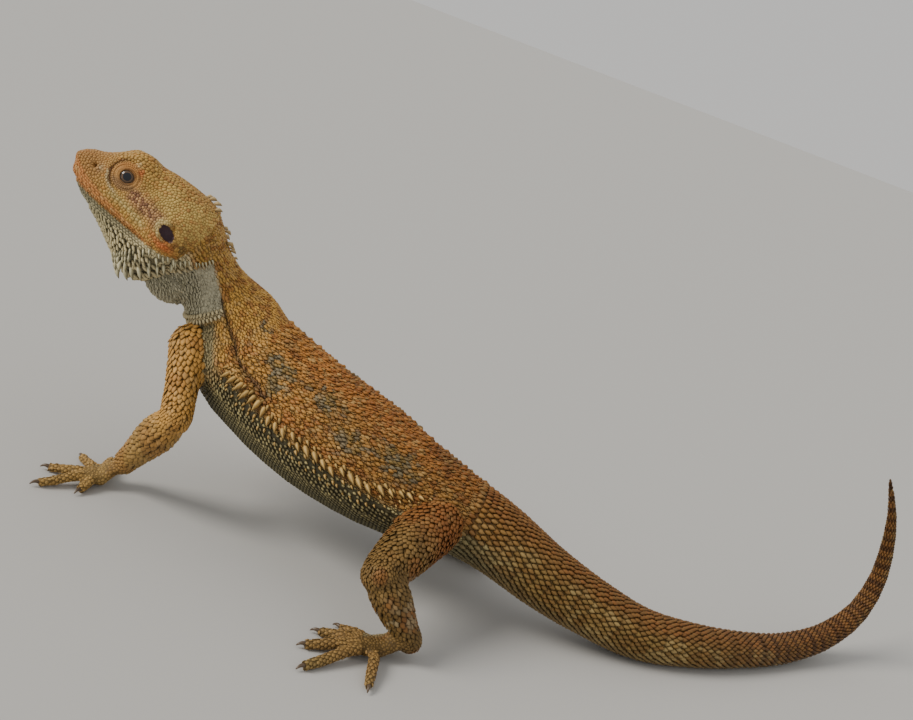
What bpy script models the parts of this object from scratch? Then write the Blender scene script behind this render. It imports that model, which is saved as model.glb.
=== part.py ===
"""An adult bearded dragon, life size and still, propped up on its straight fore legs.

+X runs from the trunk towards the tail, -Y is the animal's left side and +Z is up.
Both hands, both feet and the middle of the tail stand on the floor, z = 0.
Lengths are in millimetres and become metres when a mesh is made.
"""
import math

import bmesh
import bpy
import numpy as np
from mathutils import Matrix, Vector

# ---------------------------------------------------------------- driving sizes
MM = 0.001
GAP = 0.3                   # clearance between neighbouring pieces
LIMB_GAP = 0.5              # where facets lie across each other
BODY_SIDES = 22             # points round the head, trunk and tail
LIMB_SIDES = 12
DIGIT_SIDES = 7
HEAD_STEP = 4.2             # distance between two sections of the head and neck
TRUNK_STEP = 9.0            # and of the trunk and tail
LIMB_STEP = 5.5
BEND_EASE = 16.0            # length over which the sections turn into a bend, each way

SNOUT = (-147.6, -32.4, 113.2)
HEAD_TURN = 29.0            # degrees to the left of the trunk's own line
HEAD_LIFT = 18.5            # degrees above level
HEAD_ROLL = 31.6            # degrees that the neck turns the head's left side up

# The head's sections: distance from the snout, half width, height above the axis, depth
# below it, and how square the section is (2 is an ellipse).
HEAD = (
    (0.0, 3.2, 3.0, 2.6, 2.2),
    (1.0, 5.0, 5.0, 3.6, 2.3),
    (4.5, 7.2, 7.4, 6.0, 2.4),
    (10.0, 9.8, 10.4, 9.4, 2.5),
    (16.5, 12.6, 15.0, 12.6, 2.5),
    (22.5, 14.8, 16.8, 16.2, 2.4),
    (28.0, 17.0, 16.4, 19.6, 2.3),
    (34.0, 19.0, 16.4, 22.4, 2.2),
    (41.0, 19.8, 16.0, 23.4, 2.1),
)
# From there the spine goes on: name, centre, half width, height, depth.
SPINE = (
    ("skull", (-108.6, -10.8, 97.7), 18.4, 15.2, 21.5),
    ("nape", (-104.0, -8.2, 92.4), 15.6, 12.0, 16.5),
    ("throat", (-98.4, -5.2, 84.6), 14.4, 12.0, 13.8),
    ("collar", (-90.3, -2.4, 72.6), 17.0, 20.2, 13.5),
    ("shoulder", (-80.1, -0.4, 60.5), 22.5, 22.4, 20.5),
    ("chest", (-64.0, 0.0, 53.0), 26.0, 22.8, 22.0),
    ("ribs", (-47.3, 0.0, 47.6), 29.0, 22.5, 22.5),
    ("belly", (-22.1, 0.0, 41.8), 29.0, 22.0, 21.5),
    ("loin", (0.0, 0.0, 37.8), 24.5, 19.5, 18.5),
    ("pelvis", (14.0, 0.4, 37.0), 19.5, 17.0, 16.0),
    ("vent", (24.0, 1.0, 36.2), 16.5, 15.0, 14.5),
    ("tail_root", (38.6, 4.0, 32.2), 15.0, 13.6, 13.6),
    ("tail_fall", (57.3, 9.0, 24.3), 13.4, 12.6, 12.6),
    ("tail_low", (80.1, 17.0, 16.2), 12.0, 11.4, 11.4),
    ("tail_down", (103.1, 27.0, 9.9), 10.6, 10.0, 10.2),
    ("tail_lying", (124.5, 40.0, 8.2), 9.2, 8.6, 8.6),
    ("tail_bend", (146.4, 58.0, 6.9), 7.8, 7.4, 7.3),
    ("tail_lift", (169.9, 82.0, 6.6), 6.6, 6.4, 6.3),
    ("tail_rise", (188.0, 102.0, 12.4), 5.6, 5.5, 5.5),
    ("tail_curl", (198.0, 115.0, 22.7), 4.8, 4.7, 4.7),
    ("tail_climb", (201.1, 122.0, 36.3), 3.9, 3.9, 3.9),
    ("tail_upright", (198.5, 125.0, 54.5), 2.9, 2.9, 2.9),
    ("tail_end", (193.8, 125.0, 68.4), 1.9, 1.9, 1.9),
    ("tail_tip", (184.7, 122.0, 84.4), 0.7, 0.7, 0.7),
)
# Each length of the body: its node, and the stations where it starts and ends.
LENGTHS = (
    ("neck", "skull", "shoulder"),
    ("chest", "shoulder", "ribs"),
    ("abdomen", "ribs", "loin"),
    ("pelvis", "loin", "vent"),
    ("tail_1", "vent", "tail_low"),
    ("tail_2", "tail_low", "tail_bend"),
    ("tail_3", "tail_bend", "tail_curl"),
    ("tail_4", "tail_curl", "tail_tip"),
)
# Swellings on both sides: distance from the snout, degrees above the side, height,
# and how far each spreads along the body and round it.
SWELLINGS = (
    (17.0, 52.0, 1.5, 5.0, 15.0),       # brow
    (38.0, -24.0, 2.0, 6.0, 26.0),      # jaw muscle
    (35.0, -84.0, 1.0, 4.0, 30.0),      # beard
)
FRINGE = (2.4, 84.0, 186.0, 9.0)        # side spines: reach, start, end, spread in degrees

EYE_RADIUS = 4.2
EYE_PLACE = (17.4, 8.5, 5.4)            # along the head, aside and above its axis
EAR_PLACE = (37.5, 19.6, -3.0)
EAR_SIZE = (2.6, 2.2, 4.0)              # half sizes of the ear's hollow: along, aside, up
POUCH_PLACE = (50.5, 0.0, -17.0)        # loose skin under the throat
POUCH_SIZE = (10.5, 12.0, 9.0)
MOUTH_HEIGHT = -5.7                     # of the mouth line at the snout, from the axis
MOUTH_FALL = 7.0                        # degrees that it falls towards the jaw's corner

# Limbs: the joints' places and the radii of each length.
ARMS = {
    "left": {"shoulder": (-93.0, -17.5, 62.0), "elbow": (-84.8, -31.0, 39.0),
             "wrist": (-102.5, -24.5, 9.0), "palm": (-107.5, -30.0, 3.1), "heading": 25.0},
    "right": {"shoulder": (-85.0, 17.5, 55.5), "elbow": (-60.0, 37.0, 36.0),
              "wrist": (-36.5, 50.5, 9.0), "palm": (-41.0, 57.5, 3.1), "heading": -20.0},
}
LEGS = {
    "left": {"hip": (15.5, -13.0, 36.5), "knee": (8.4, -50.0, 28.0),
             "ankle": (25.4, -47.0, 7.6), "sole": (16.0, -52.0, 3.4), "heading": 38.0},
    "right": {"hip": (15.5, 13.0, 36.0), "knee": (16.0, 44.0, 24.0),
              "ankle": (33.0, 38.0, 7.6), "sole": (24.5, 42.0, 3.4), "heading": -30.0},
}
UPPER_ARM_RADII = (8.2, 7.0, 6.2, 6.5)
FOREARM_RADII = (5.6, 7.4, 6.8, 5.4, 4.8)
THIGH_RADII = (11.5, 10.6, 9.6, 7.6)
SHANK_RADII = (6.4, 7.4, 6.8, 5.4, 5.0)
# Digits, first to fifth: degrees out from the limb's heading, length and radius.
FORE_DIGITS = ((-97.0, 14.6, 2.0), (-61.0, 13.6, 2.05), (-4.0, 14.8, 2.1), (30.0, 19.2, 2.1),
               (62.0, 7.6, 2.0))
HIND_DIGITS = ((-52.0, 11.0, 2.0), (-26.0, 16.0, 2.05), (-3.0, 21.0, 2.1), (19.0, 26.0, 2.1),
               (66.0, 16.0, 2.0))
PALM_SIZES = (5.0, 3.7)                 # half width and height of the hand's palm
SOLE_SIZES = (5.6, 3.9)                 # and of the foot's sole
PALM_WIDTHS = (0.56, 0.86, 1.0, 0.9)    # shares of the half width, from the joint forward
PALM_RISE = 0.6                         # between the joint and the palm
PALM_FRONT = 0.8                        # where the palm ends, in half widths
DIGIT_ROOT = 0.55                       # where the digits start, in half widths
DIGIT_RADII = (1.25, 1.1, 1.0, 1.04, 0.86)
DIGIT_PRESS = 0.3                       # how far a digit is pressed flat on the floor
CLAW_LENGTH = 3.4
CLAW_SIDES = 5
CLAW_HOOK = ((0.0, 0.0), (0.35, 0.4), (0.72, 0.1), (1.0, -0.8))     # part of length, rise
CLAW_RADII = (0.5, 0.42, 0.27)           # shares of the digit's radius
CLAW_POINT = 0.22
CAP_ANGLES = (38.0, 70.0)               # degrees to the two rings of a limb's round end
SHARP_ANGLE = 50.0
BLOCK_SIZE = 400.0                      # of the blocks that cut along a plane

SKIN = (0.36, 0.17, 0.06)
PALE = (0.50, 0.42, 0.27)
BANDED = (0.22, 0.12, 0.05)
HORN = (0.05, 0.03, 0.02)
EYE = (0.02, 0.02, 0.03)


# ---------------------------------------------------------------- curves and sections
def smooth(stations, values, at):
    """Read, at the places `at`, a smooth curve through the values at the stations."""
    stations = np.asarray(stations, float)
    values = np.asarray(values, float)
    slopes = np.gradient(values, stations, axis=0)
    index = np.clip(np.searchsorted(stations, at, side="right") - 1, 0, len(stations) - 2)
    width = stations[index + 1] - stations[index]
    part = (at - stations[index]) / width
    if values.ndim > 1:
        width, part = width[:, None], part[:, None]
    before, after = values[index], values[index + 1]
    rise, fall = slopes[index] * width, slopes[index + 1] * width
    square, cube = part**2, part**3
    return ((2 * cube - 3 * square + 1) * before + (cube - 2 * square + part) * rise
            + (3 * square - 2 * cube) * after + (cube - square) * fall)


def unit(vectors):
    return vectors / np.linalg.norm(vectors, axis=-1, keepdims=True)


def distances(points):
    """The distance of each point from the first, measured along the line."""
    steps = np.linalg.norm(np.diff(np.asarray(points, float), axis=0), axis=1)
    return np.concatenate([[0.0], np.cumsum(steps)])


def eased(rows, reach):
    """Average each row with its neighbours, `reach` rows each way, more for the nearest."""
    weights = np.hanning(2 * reach + 3)[1:-1]
    padded = np.pad(rows, ((reach, reach), (0, 0)), mode="edge")
    columns = [np.convolve(column, weights / weights.sum(), mode="valid")
               for column in padded.T]
    return np.stack(columns, axis=1)


def carried_sides(tangents, side):
    """Carry a side direction along the tangents without twist."""
    sides = []
    for tangent in tangents:
        side = unit(side - tangent * np.dot(side, tangent))
        sides.append(side)
    return np.array(sides)


def ring(centre, side, up, sizes, count):
    """A section: an ellipse or squarer, with its own height and depth."""
    wide, high, deep, square = sizes
    turn = 2 * np.pi * np.arange(count) / count
    across = np.sign(np.cos(turn)) * np.abs(np.cos(turn))**(2 / square) * wide
    rise = np.sign(np.sin(turn)) * np.abs(np.sin(turn))**(2 / square)
    rise = rise * np.where(rise > 0, high, deep)
    return centre + across[:, None] * side + rise[:, None] * up


class Body:
    """The head, trunk and tail as one row of sections, read at any distance from the snout."""

    def __init__(self):
        turn, lift = math.radians(HEAD_TURN), math.radians(HEAD_LIFT)
        axis = np.array([math.cos(lift) * math.cos(turn), math.cos(lift) * math.sin(turn),
                         -math.sin(lift)])
        head = [np.array(SNOUT) + row[0] * axis for row in HEAD]
        self.points = np.array(head + [np.array(row[1]) for row in SPINE])
        sizes = [row[1:5] for row in HEAD] + [row[2:5] + (2.1,) for row in SPINE]
        self.sizes = np.array(sizes)
        self.keys = distances(self.points)
        self.stations = {row[0]: key for row, key in zip(SPINE, self.keys[len(HEAD):])}
        self.axis = axis
        fine = np.linspace(0.0, self.keys[-1], 400)
        tangents = unit(np.gradient(smooth(self.keys, self.points, fine), fine, axis=0))
        reach = round(BEND_EASE / (fine[1] - fine[0]))
        tangents = unit(eased(tangents, reach))
        middle = int(np.searchsorted(fine, self.stations["loin"]))
        left = np.array([0.0, -1.0, 0.0])
        back = carried_sides(tangents[:middle + 1][::-1], left)[::-1]
        self.fine, self.tangents = fine, tangents
        sides = np.vstack([back, carried_sides(tangents[middle:], left)[1:]])
        ends = (self.stations["skull"], self.stations["shoulder"])
        roll = math.radians(HEAD_ROLL) * np.interp(fine, ends, (1.0, 0.0))
        ups = np.cross(sides, tangents)
        self.sides = np.cos(roll)[:, None] * sides + np.sin(roll)[:, None] * ups

    def frame(self, along):
        """Centres, tangents, left sides and ups at these distances from the snout."""
        centres = smooth(self.keys, self.points, along)
        pick = [np.interp(along, self.fine, self.tangents[:, i]) for i in range(3)]
        tangents = unit(np.stack(pick, axis=1))
        pick = [np.interp(along, self.fine, self.sides[:, i]) for i in range(3)]
        sides = np.stack(pick, axis=1)
        sides = unit(sides - tangents * np.sum(sides * tangents, axis=1, keepdims=True))
        return centres, tangents, sides, np.cross(sides, tangents)

    def rings(self, start, end, step, grow=0.0):
        """The sections between two distances from the snout."""
        along = np.linspace(start, end, max(2, round((end - start) / step) + 1))
        centres, _, sides, ups = self.frame(along)
        sizes = smooth(self.keys, self.sizes, along)
        sizes[:, :3] += grow
        rows = [ring(c, s, u, z, BODY_SIDES) for c, s, u, z in zip(centres, sides, ups, sizes)]
        return [self.swell(row, c, s, u, a)
                for row, c, s, u, a in zip(rows, centres, sides, ups, along)]

    def swell(self, row, centre, side, up, along):
        """Push a section out at the brow, the jaw, the beard and the row of side spines."""
        spoke = row - centre
        turn = np.degrees(np.arctan2(spoke @ up, np.abs(spoke @ side)))
        out = np.zeros(len(row))
        for place, angle, reach, length, spread in SWELLINGS:
            near = math.exp(-((along - place) / length)**2)
            out += reach * near * np.exp(-((turn - angle) / spread)**2)
        reach, start, end, spread = FRINGE
        near = 1.0 / (1.0 + math.exp(start - along)) / (1.0 + math.exp(along - end))
        out += reach * near * np.exp(-(turn / spread)**2)
        return row + unit(spoke) * out[:, None]

    def head_axes(self):
        """The head's own directions: back along its axis, left and up."""
        _, _, sides, ups = self.frame(np.array([1.0]))
        return self.axis, sides[0], ups[0]

    def at_head(self, along, aside, above, side=1.0):
        """A place on the head: along its axis, aside (left is 1) and above the axis."""
        back, left, up = self.head_axes()
        return np.array(SNOUT) + back * along + left * aside * side + up * above


# ---------------------------------------------------------------- Blender objects
def collection(name):
    group = bpy.data.collections.new(name)
    bpy.context.scene.collection.children.link(group)
    return group


def material(name, colour, roughness):
    made = bpy.data.materials.new(name)
    made.use_nodes = True
    shader = made.node_tree.nodes["Principled BSDF"]
    shader.inputs["Base Color"].default_value = (*colour, 1.0)
    shader.inputs["Roughness"].default_value = roughness
    return made


def add_object(name, work, group, look=None):
    """Turn a bmesh in millimetres into an object in metres."""
    bmesh.ops.recalc_face_normals(work, faces=work.faces)
    bmesh.ops.scale(work, vec=(MM, MM, MM), verts=work.verts)
    mesh = bpy.data.meshes.new(name)
    work.to_mesh(mesh)
    work.free()
    mesh.shade_smooth()
    mesh.set_sharp_from_angle(angle=math.radians(SHARP_ANGLE))
    thing = bpy.data.objects.new(name, mesh)
    group.objects.link(thing)
    if look:
        mesh.materials.append(look)
    else:
        thing.hide_render = True
        thing.display_type = "WIRE"
    return thing


def loft(rings):
    """Join a row of sections with the same number of points into one closed body."""
    work = bmesh.new()
    rows = [[work.verts.new(point) for point in row] for row in rings]
    for row, after in zip(rows, rows[1:]):
        for i in range(len(row)):
            j = (i + 1) % len(row)
            work.faces.new((row[i], row[j], after[j], after[i]))
    work.faces.new(rows[0])
    work.faces.new(rows[-1])
    return work


def limb_rings(points, radii, sides, flat=1.0, grow=0.0, round_ends=(True, True)):
    """Sections of a limb along a smooth line, each end rounded or cut flat."""
    points = np.asarray(points, float)
    keys = distances(points)
    ends = np.linspace(0.0, keys[-1], len(radii))
    along = np.linspace(0.0, keys[-1], max(4, round(keys[-1] / LIMB_STEP) + 1))
    size = smooth(ends, np.asarray(radii, float), along) + grow
    centres = smooth(keys, points, along)
    tangents = unit(np.gradient(centres, along, axis=0))
    first = np.cross(tangents[0], (0.0, 0.0, 1.0))
    if np.linalg.norm(first) < 0.2:
        first = np.array([0.0, -1.0, 0.0])
    across = carried_sides(tangents, unit(first))
    rows = [(c, t, s, r) for c, t, s, r in zip(centres, tangents, across, size)]
    caps = [math.radians(angle) for angle in CAP_ANGLES]
    if round_ends[0]:
        c, t, s, r = rows[0]
        rows = [(c - t * r * math.sin(a), t, s, r * math.cos(a)) for a in caps[::-1]] + rows
    if round_ends[1]:
        c, t, s, r = rows[-1]
        rows += [(c + t * r * math.sin(a), t, s, r * math.cos(a)) for a in caps]
    return [ring(c, s, np.cross(s, t), (r, r * flat, r * flat, 2.0), sides)
            for c, t, s, r in rows]


def boolean(thing, other, operation):
    change = thing.modifiers.new(operation.title(), "BOOLEAN")
    change.operation = operation
    change.object = other
    change.solver = "EXACT"


def half_space(name, group, centre, normal):
    """A large block below the plane through `centre`, whose top face is that plane."""
    work = bmesh.new()
    bmesh.ops.create_cube(work, size=BLOCK_SIZE)
    bmesh.ops.translate(work, vec=(0, 0, -BLOCK_SIZE / 2), verts=work.verts)
    spin = Vector((0, 0, 1)).rotation_difference(Vector(normal)).to_matrix().to_4x4()
    bmesh.ops.transform(work, matrix=Matrix.Translation(Vector(centre)) @ spin,
                        verts=work.verts)
    return add_object(name, work, group)


def ball(centre, axes, sizes, rings=8, segments=12):
    """An ellipsoid, its half sizes given along the three axes."""
    work = bmesh.new()
    bmesh.ops.create_uvsphere(work, u_segments=segments, v_segments=rings, radius=1.0)
    place = Matrix.Identity(4)
    for i in range(3):
        for j in range(3):
            place[j][i] = axes[i][j] * sizes[i]
        place[i][3] = centre[i]
    bmesh.ops.transform(work, matrix=place, verts=work.verts)
    return work


# ---------------------------------------------------------------- the pieces
def make_head(body, parts, cutters, looks):
    """The head and the lower jaw, parted at the mouth, with sockets for the eyes and ears."""
    end = body.stations["skull"] - GAP / 2
    fall = math.radians(MOUTH_FALL)
    axes = body.head_axes()
    normal = axes[2] * math.cos(fall) + axes[0] * math.sin(fall)
    mouth = body.at_head(0.0, 0.0, MOUTH_HEIGHT)
    head = add_object("head", loft(body.rings(0.0, end, HEAD_STEP)), parts, looks["skin"])
    jaw = add_object("lower_jaw", loft(body.rings(0.0, end, HEAD_STEP)), parts, looks["pale"])
    boolean(head, half_space("below_mouth", cutters, mouth + normal * GAP / 2, normal),
            "DIFFERENCE")
    boolean(jaw, half_space("above_mouth", cutters, mouth - normal * GAP / 2, -normal),
            "DIFFERENCE")
    for side, sign in (("left", 1.0), ("right", -1.0)):
        centre = body.at_head(*EYE_PLACE, side=sign)
        eye = ball(centre, axes, [EYE_RADIUS] * 3)
        add_object(f"eye_{side}", eye, parts, looks["eye"])
        socket = ball(centre, axes, [EYE_RADIUS + GAP] * 3)
        boolean(head, add_object(f"socket_{side}", socket, cutters), "DIFFERENCE")
        ear = ball(body.at_head(*EAR_PLACE, side=sign), axes, EAR_SIZE)
        boolean(head, add_object(f"ear_{side}", ear, cutters), "DIFFERENCE")


def make_trunk(body, parts, cutters, looks, floor):
    """The neck, trunk and tail in lengths that meet face to face."""
    centres, tangents, _, _ = body.frame(np.array([body.stations["skull"] + GAP / 2]))
    skull = half_space("skull_side", cutters, centres[0], tangents[0])
    pouch = ball(body.at_head(*POUCH_PLACE), body.head_axes(), POUCH_SIZE)
    pouch = add_object("pouch", pouch, cutters)
    for name, first, last in LENGTHS:
        start = body.stations[first] + GAP / 2
        end = body.stations[last] - (GAP / 2 if last != "tail_tip" else 0.0)
        step = HEAD_STEP if name == "neck" else TRUNK_STEP
        look = looks["banded" if name in ("tail_3", "tail_4") else "skin"]
        piece = add_object(name, loft(body.rings(start, end, step)), parts, look)
        if name == "neck":
            boolean(piece, pouch, "UNION")
            boolean(piece, skull, "DIFFERENCE")
        if name.startswith("tail"):
            boolean(piece, floor, "DIFFERENCE")


def make_limb(lengths, side, body_cutter, parts, cutters, look):
    """The two long pieces of a limb; each is cut back from the piece that carries it."""
    carrier = body_cutter
    for piece_name, points, radii in lengths:
        piece = add_object(f"{piece_name}_{side}", loft(limb_rings(points, radii, LIMB_SIDES)),
                           parts, look)
        boolean(piece, carrier, "DIFFERENCE")
        grown = limb_rings(points, radii, LIMB_SIDES, grow=GAP)
        carrier = add_object(f"{piece_name}_{side}_grown", loft(grown), cutters)
    return carrier


def heading_vector(degrees, side):
    """A level direction, its angle measured outward from straight ahead (-X)."""
    outward = math.radians(degrees)
    return np.array([-math.cos(outward), -side * math.sin(outward), 0.0])


def make_foot(name, side, root, palm, heading, table, palm_sizes, carrier, floor, parts,
              cutters, looks):
    """A hand or foot: its palm and digits in one piece, and five claws of their own."""
    sign = 1.0 if side == "left" else -1.0
    palm = np.array(palm)
    root = np.array(root)
    ahead = heading_vector(heading * sign, sign)
    width, height = palm_sizes
    front = palm + ahead * width * PALM_FRONT
    sole = limb_rings([root, (root + palm) / 2 + (0, 0, PALM_RISE), palm, front],
                      [width * share for share in PALM_WIDTHS], LIMB_SIDES,
                      flat=height / width)
    piece = add_object(f"{name}_{side}", loft(sole), parts, looks["skin"])
    for number, (spread, length, radius) in enumerate(table, start=1):
        toward = heading_vector(heading * sign + spread, sign)
        lead = palm * (1, 1, 0) + toward * width * DIGIT_ROOT
        rest = radius - DIGIT_PRESS
        shape = ((0.0, height), (0.3, height * 0.95 + 0.5), (0.62, rest + 1.1),
                 (0.88, rest + 0.1), (1.0, rest))
        points = [lead + toward * length * part + (0, 0, level) for part, level in shape]
        radii = [radius * share for share in DIGIT_RADII]
        digit = loft(limb_rings(points, radii, DIGIT_SIDES, round_ends=(True, False)))
        boolean(piece, add_object(f"{name}_{side}_digit_{number}", digit, cutters), "UNION")
        tip = points[-1] + toward * LIMB_GAP
        line = [tip + toward * CLAW_LENGTH * part + (0, 0, rise) for part, rise in CLAW_HOOK]
        radii = [radius * share for share in CLAW_RADII] + [CLAW_POINT]
        claw = limb_rings(line, radii, CLAW_SIDES, round_ends=(False, False))
        add_object(f"claw_{name}_{side}_{number}", loft(claw), parts, looks["horn"])
    boolean(piece, carrier, "DIFFERENCE")
    boolean(piece, floor, "DIFFERENCE")


def stand_on_origin(things):
    """Move everything so that the origin lies on the floor under the animal's middle."""
    graph = bpy.context.evaluated_depsgraph_get()
    seen = [thing.evaluated_get(graph) for thing in things if not thing.hide_render]
    corners = np.array([thing.matrix_world @ Vector(corner) for thing in seen
                        for corner in thing.bound_box])
    middle = (corners.min(axis=0) + corners.max(axis=0)) / 2
    for thing in things:
        thing.location = (-middle[0], -middle[1], 0.0)


def main():
    for thing in list(bpy.data.objects):
        bpy.data.objects.remove(thing)
    parts = collection("bearded_dragon")
    cutters = collection("cutters")
    looks = {
        "skin": material("scaly_skin", SKIN, 0.75),
        "pale": material("pale_beard", PALE, 0.75),
        "banded": material("banded_tail", BANDED, 0.75),
        "horn": material("claw_horn", HORN, 0.45),
        "eye": material("eye_gloss", EYE, 0.1),
    }
    body = Body()
    floor = half_space("floor_cut", cutters, (0, 0, 0), (0, 0, 1))
    make_head(body, parts, cutters, looks)
    make_trunk(body, parts, cutters, looks, floor)
    stations = body.stations
    front = body.rings(stations["skull"], stations["loin"], HEAD_STEP, grow=LIMB_GAP)
    rear = body.rings(stations["belly"], stations["tail_low"], HEAD_STEP, grow=LIMB_GAP)
    carriers = {"arm": add_object("front_grown", loft(front), cutters),
                "leg": add_object("rear_grown", loft(rear), cutters)}
    for side in ("left", "right"):
        arm, leg = ARMS[side], LEGS[side]
        lengths = (("upper_arm", (arm["shoulder"], arm["elbow"]), UPPER_ARM_RADII),
                   ("forearm", (arm["elbow"], arm["wrist"]), FOREARM_RADII))
        wrist = make_limb(lengths, side, carriers["arm"], parts, cutters, looks["skin"])
        make_foot("hand", side, arm["wrist"], arm["palm"], arm["heading"], FORE_DIGITS,
                  PALM_SIZES, wrist, floor, parts, cutters, looks)
        lengths = (("thigh", (leg["hip"], leg["knee"]), THIGH_RADII),
                   ("shank", (leg["knee"], leg["ankle"]), SHANK_RADII))
        ankle = make_limb(lengths, side, carriers["leg"], parts, cutters, looks["skin"])
        make_foot("foot", side, leg["ankle"], leg["sole"], leg["heading"], HIND_DIGITS,
                  SOLE_SIZES, ankle, floor, parts, cutters, looks)
    stand_on_origin(bpy.data.objects)


if __name__ == "__main__":
    main()
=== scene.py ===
"""Bearded dragon: skin, scales, spines, eyes, claws and the studio round it.

Sizes in the tables are millimetres in the body's own frame; the scene is in metres.
"""

import itertools
import math

import bpy
import numpy as np
from bpy.props import FloatProperty, PointerProperty
from bpy.types import Operator, Panel, PropertyGroup
from mathutils import Matrix, Vector
from mathutils.bvhtree import BVHTree


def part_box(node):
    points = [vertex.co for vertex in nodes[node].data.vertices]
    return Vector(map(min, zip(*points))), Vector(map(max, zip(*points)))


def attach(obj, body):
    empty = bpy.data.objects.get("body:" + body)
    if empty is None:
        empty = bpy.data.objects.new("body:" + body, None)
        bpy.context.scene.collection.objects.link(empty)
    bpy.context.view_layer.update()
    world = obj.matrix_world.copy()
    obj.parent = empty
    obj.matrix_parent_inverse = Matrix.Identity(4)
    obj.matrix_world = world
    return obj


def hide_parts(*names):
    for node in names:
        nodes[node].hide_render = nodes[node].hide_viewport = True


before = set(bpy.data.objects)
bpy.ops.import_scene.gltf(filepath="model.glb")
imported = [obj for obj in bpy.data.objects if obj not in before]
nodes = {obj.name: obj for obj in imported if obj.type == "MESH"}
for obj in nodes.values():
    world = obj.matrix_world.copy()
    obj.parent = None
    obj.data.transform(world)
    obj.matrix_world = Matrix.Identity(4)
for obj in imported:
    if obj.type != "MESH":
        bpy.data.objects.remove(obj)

bl_info = {
    "name": "Bearded dragon",
    "version": (1, 0, 0),
    "blender": (4, 5, 0),
    "location": "3D View > Sidebar > Dragon",
    "description": "Skin, scales, eyes and claws over the solid body, and a studio stage",
    "category": "Object",
}

MM = 0.001
SIDES = ("left", "right")

# ---------------------------------------------------------------- measures of the body
SNOUT = (-147.6, -32.4, 113.2)
HEAD_TURN = 29.0
HEAD_LIFT = 18.5
NECK_ROLL = 31.6               # at the skull; gone at the shoulder
HEAD_LENGTH = 58.0
SPINE = (
    ("skull", (-108.6, -10.8, 97.7)), ("nape", (-104.0, -8.2, 92.4)),
    ("throat", (-98.4, -5.2, 84.6)), ("collar", (-90.3, -2.4, 72.6)),
    ("shoulder", (-80.1, -0.4, 60.5)), ("chest", (-64.0, 0.0, 53.0)),
    ("ribs", (-47.3, 0.0, 47.6)), ("belly", (-22.1, 0.0, 41.8)),
    ("loin", (0.0, 0.0, 37.8)), ("pelvis", (14.0, 0.4, 37.0)),
    ("vent", (24.0, 1.0, 36.2)), ("tail_root", (38.6, 4.0, 32.2)),
    ("tail_fall", (57.3, 9.0, 24.3)), ("tail_low", (80.1, 17.0, 16.2)),
    ("tail_down", (103.1, 27.0, 9.9)), ("tail_lying", (124.5, 40.0, 8.2)),
    ("tail_bend", (146.4, 58.0, 6.9)), ("tail_lift", (169.9, 82.0, 6.6)),
    ("tail_rise", (188.0, 102.0, 12.4)), ("tail_curl", (198.0, 115.0, 22.7)),
    ("tail_climb", (201.1, 122.0, 36.3)), ("tail_upright", (198.5, 125.0, 54.5)),
    ("tail_end", (193.8, 125.0, 68.4)), ("tail_tip", (184.7, 122.0, 84.4)),
)
LIMBS = {
    "arm_left": ((-93.0, -17.5, 62.0), (-84.8, -31.0, 39.0), (-102.5, -24.5, 9.0),
                 (-107.5, -30.0, 3.1)),
    "arm_right": ((-85.0, 17.5, 55.5), (-60.0, 37.0, 36.0), (-36.5, 50.5, 9.0),
                  (-41.0, 57.5, 3.1)),
    "leg_left": ((15.5, -13.0, 36.5), (8.4, -50.0, 28.0), (25.4, -47.0, 7.6),
                 (16.0, -52.0, 3.4)),
    "leg_right": ((15.5, 13.0, 36.0), (16.0, 44.0, 24.0), (33.0, 38.0, 7.6),
                  (24.5, 42.0, 3.4)),
}
LIMB_NODES = {"arm": ("upper_arm", "forearm", "hand"), "leg": ("thigh", "shank", "foot")}
SPINE_NODES = ("neck", "chest", "abdomen", "pelvis", "tail_1", "tail_2", "tail_3", "tail_4")
CLAW_ROOT = 2.1                # from a claw's middle back to its digit
DIGIT_REACH = 1.0              # how far a digit's rounded end is drawn out to its claw
# Places on the head are along it from the snout, aside and above its axis.
EYE_PLACE = (17.4, 8.5, 5.4)
EYE_LOOK = (-0.15, 1.0, 0.1)   # the direction of sight
EYE_OPENING = (2.75, 2.3)      # half the width and height between the lids
EYE_BALL = 4.2
LID_BALL = 5.0
EAR_PLACE = (37.5, 19.3, -3.0)
EAR_SIZE = (3.7, 2.25)         # half its length and half its height
EAR_LEAN = math.radians(27.0)
NOSTRIL = (6.4, 7.4, 3.1)
SNOUT_ROUND = 2.0              # the snout's tip is pressed flat ahead of this
MOUTH_HEIGHT = -5.7            # of the closed lips at the snout
MOUTH_FALL = 0.122             # per millimetre towards the rear
MOUTH_CURL, CURL_LENGTH = 3.6, 4.6      # the rise at the snout and how far it reaches
MOUTH_END = 33.0
TEMPLE = (2.2, 0.22)           # height of the temple's dotted band, and its fall to the rear
EDGE_PLACES, EDGE_HEIGHTS = (33, 40, 47, 57, 60), (-9.8, -9.9, -8.6, -2.4, 0.0)
# the line between the head's gold and the beard, along the head and above its axis
SKIN_DEGREE = 0.4              # millimetres of skin to a degree round the trunk
SHOULDER_FOLD = ((24, 76), (34, 73), (45, 68), (62, 72), (71, 75))   # along and angle
POUCH_FOLD = ((8, 106), (10, 113), (14, 125), (20, 142))
GREY_EDGE = ((78, 95, 109, 144, 180), (8.8, 8.2, 7.2, 3.1, 2.0))     # angles and places
COLLAR = 28.3                  # the cream row on the neck's last fold
# The rear lower edge of the jaw, as places on the head.
JAW_EDGE = ((33.5, 0.0, -23.5), (34.3, 4.5, -22.9), (37.2, 11.5, -19.5), (42.1, 14.6, -15.5),
            (46.5, 15.5, -11.1), (50.5, 15.4, -7.7), (54.0, 14.7, -6.4), (57.2, 13.9, -3.1))
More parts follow.
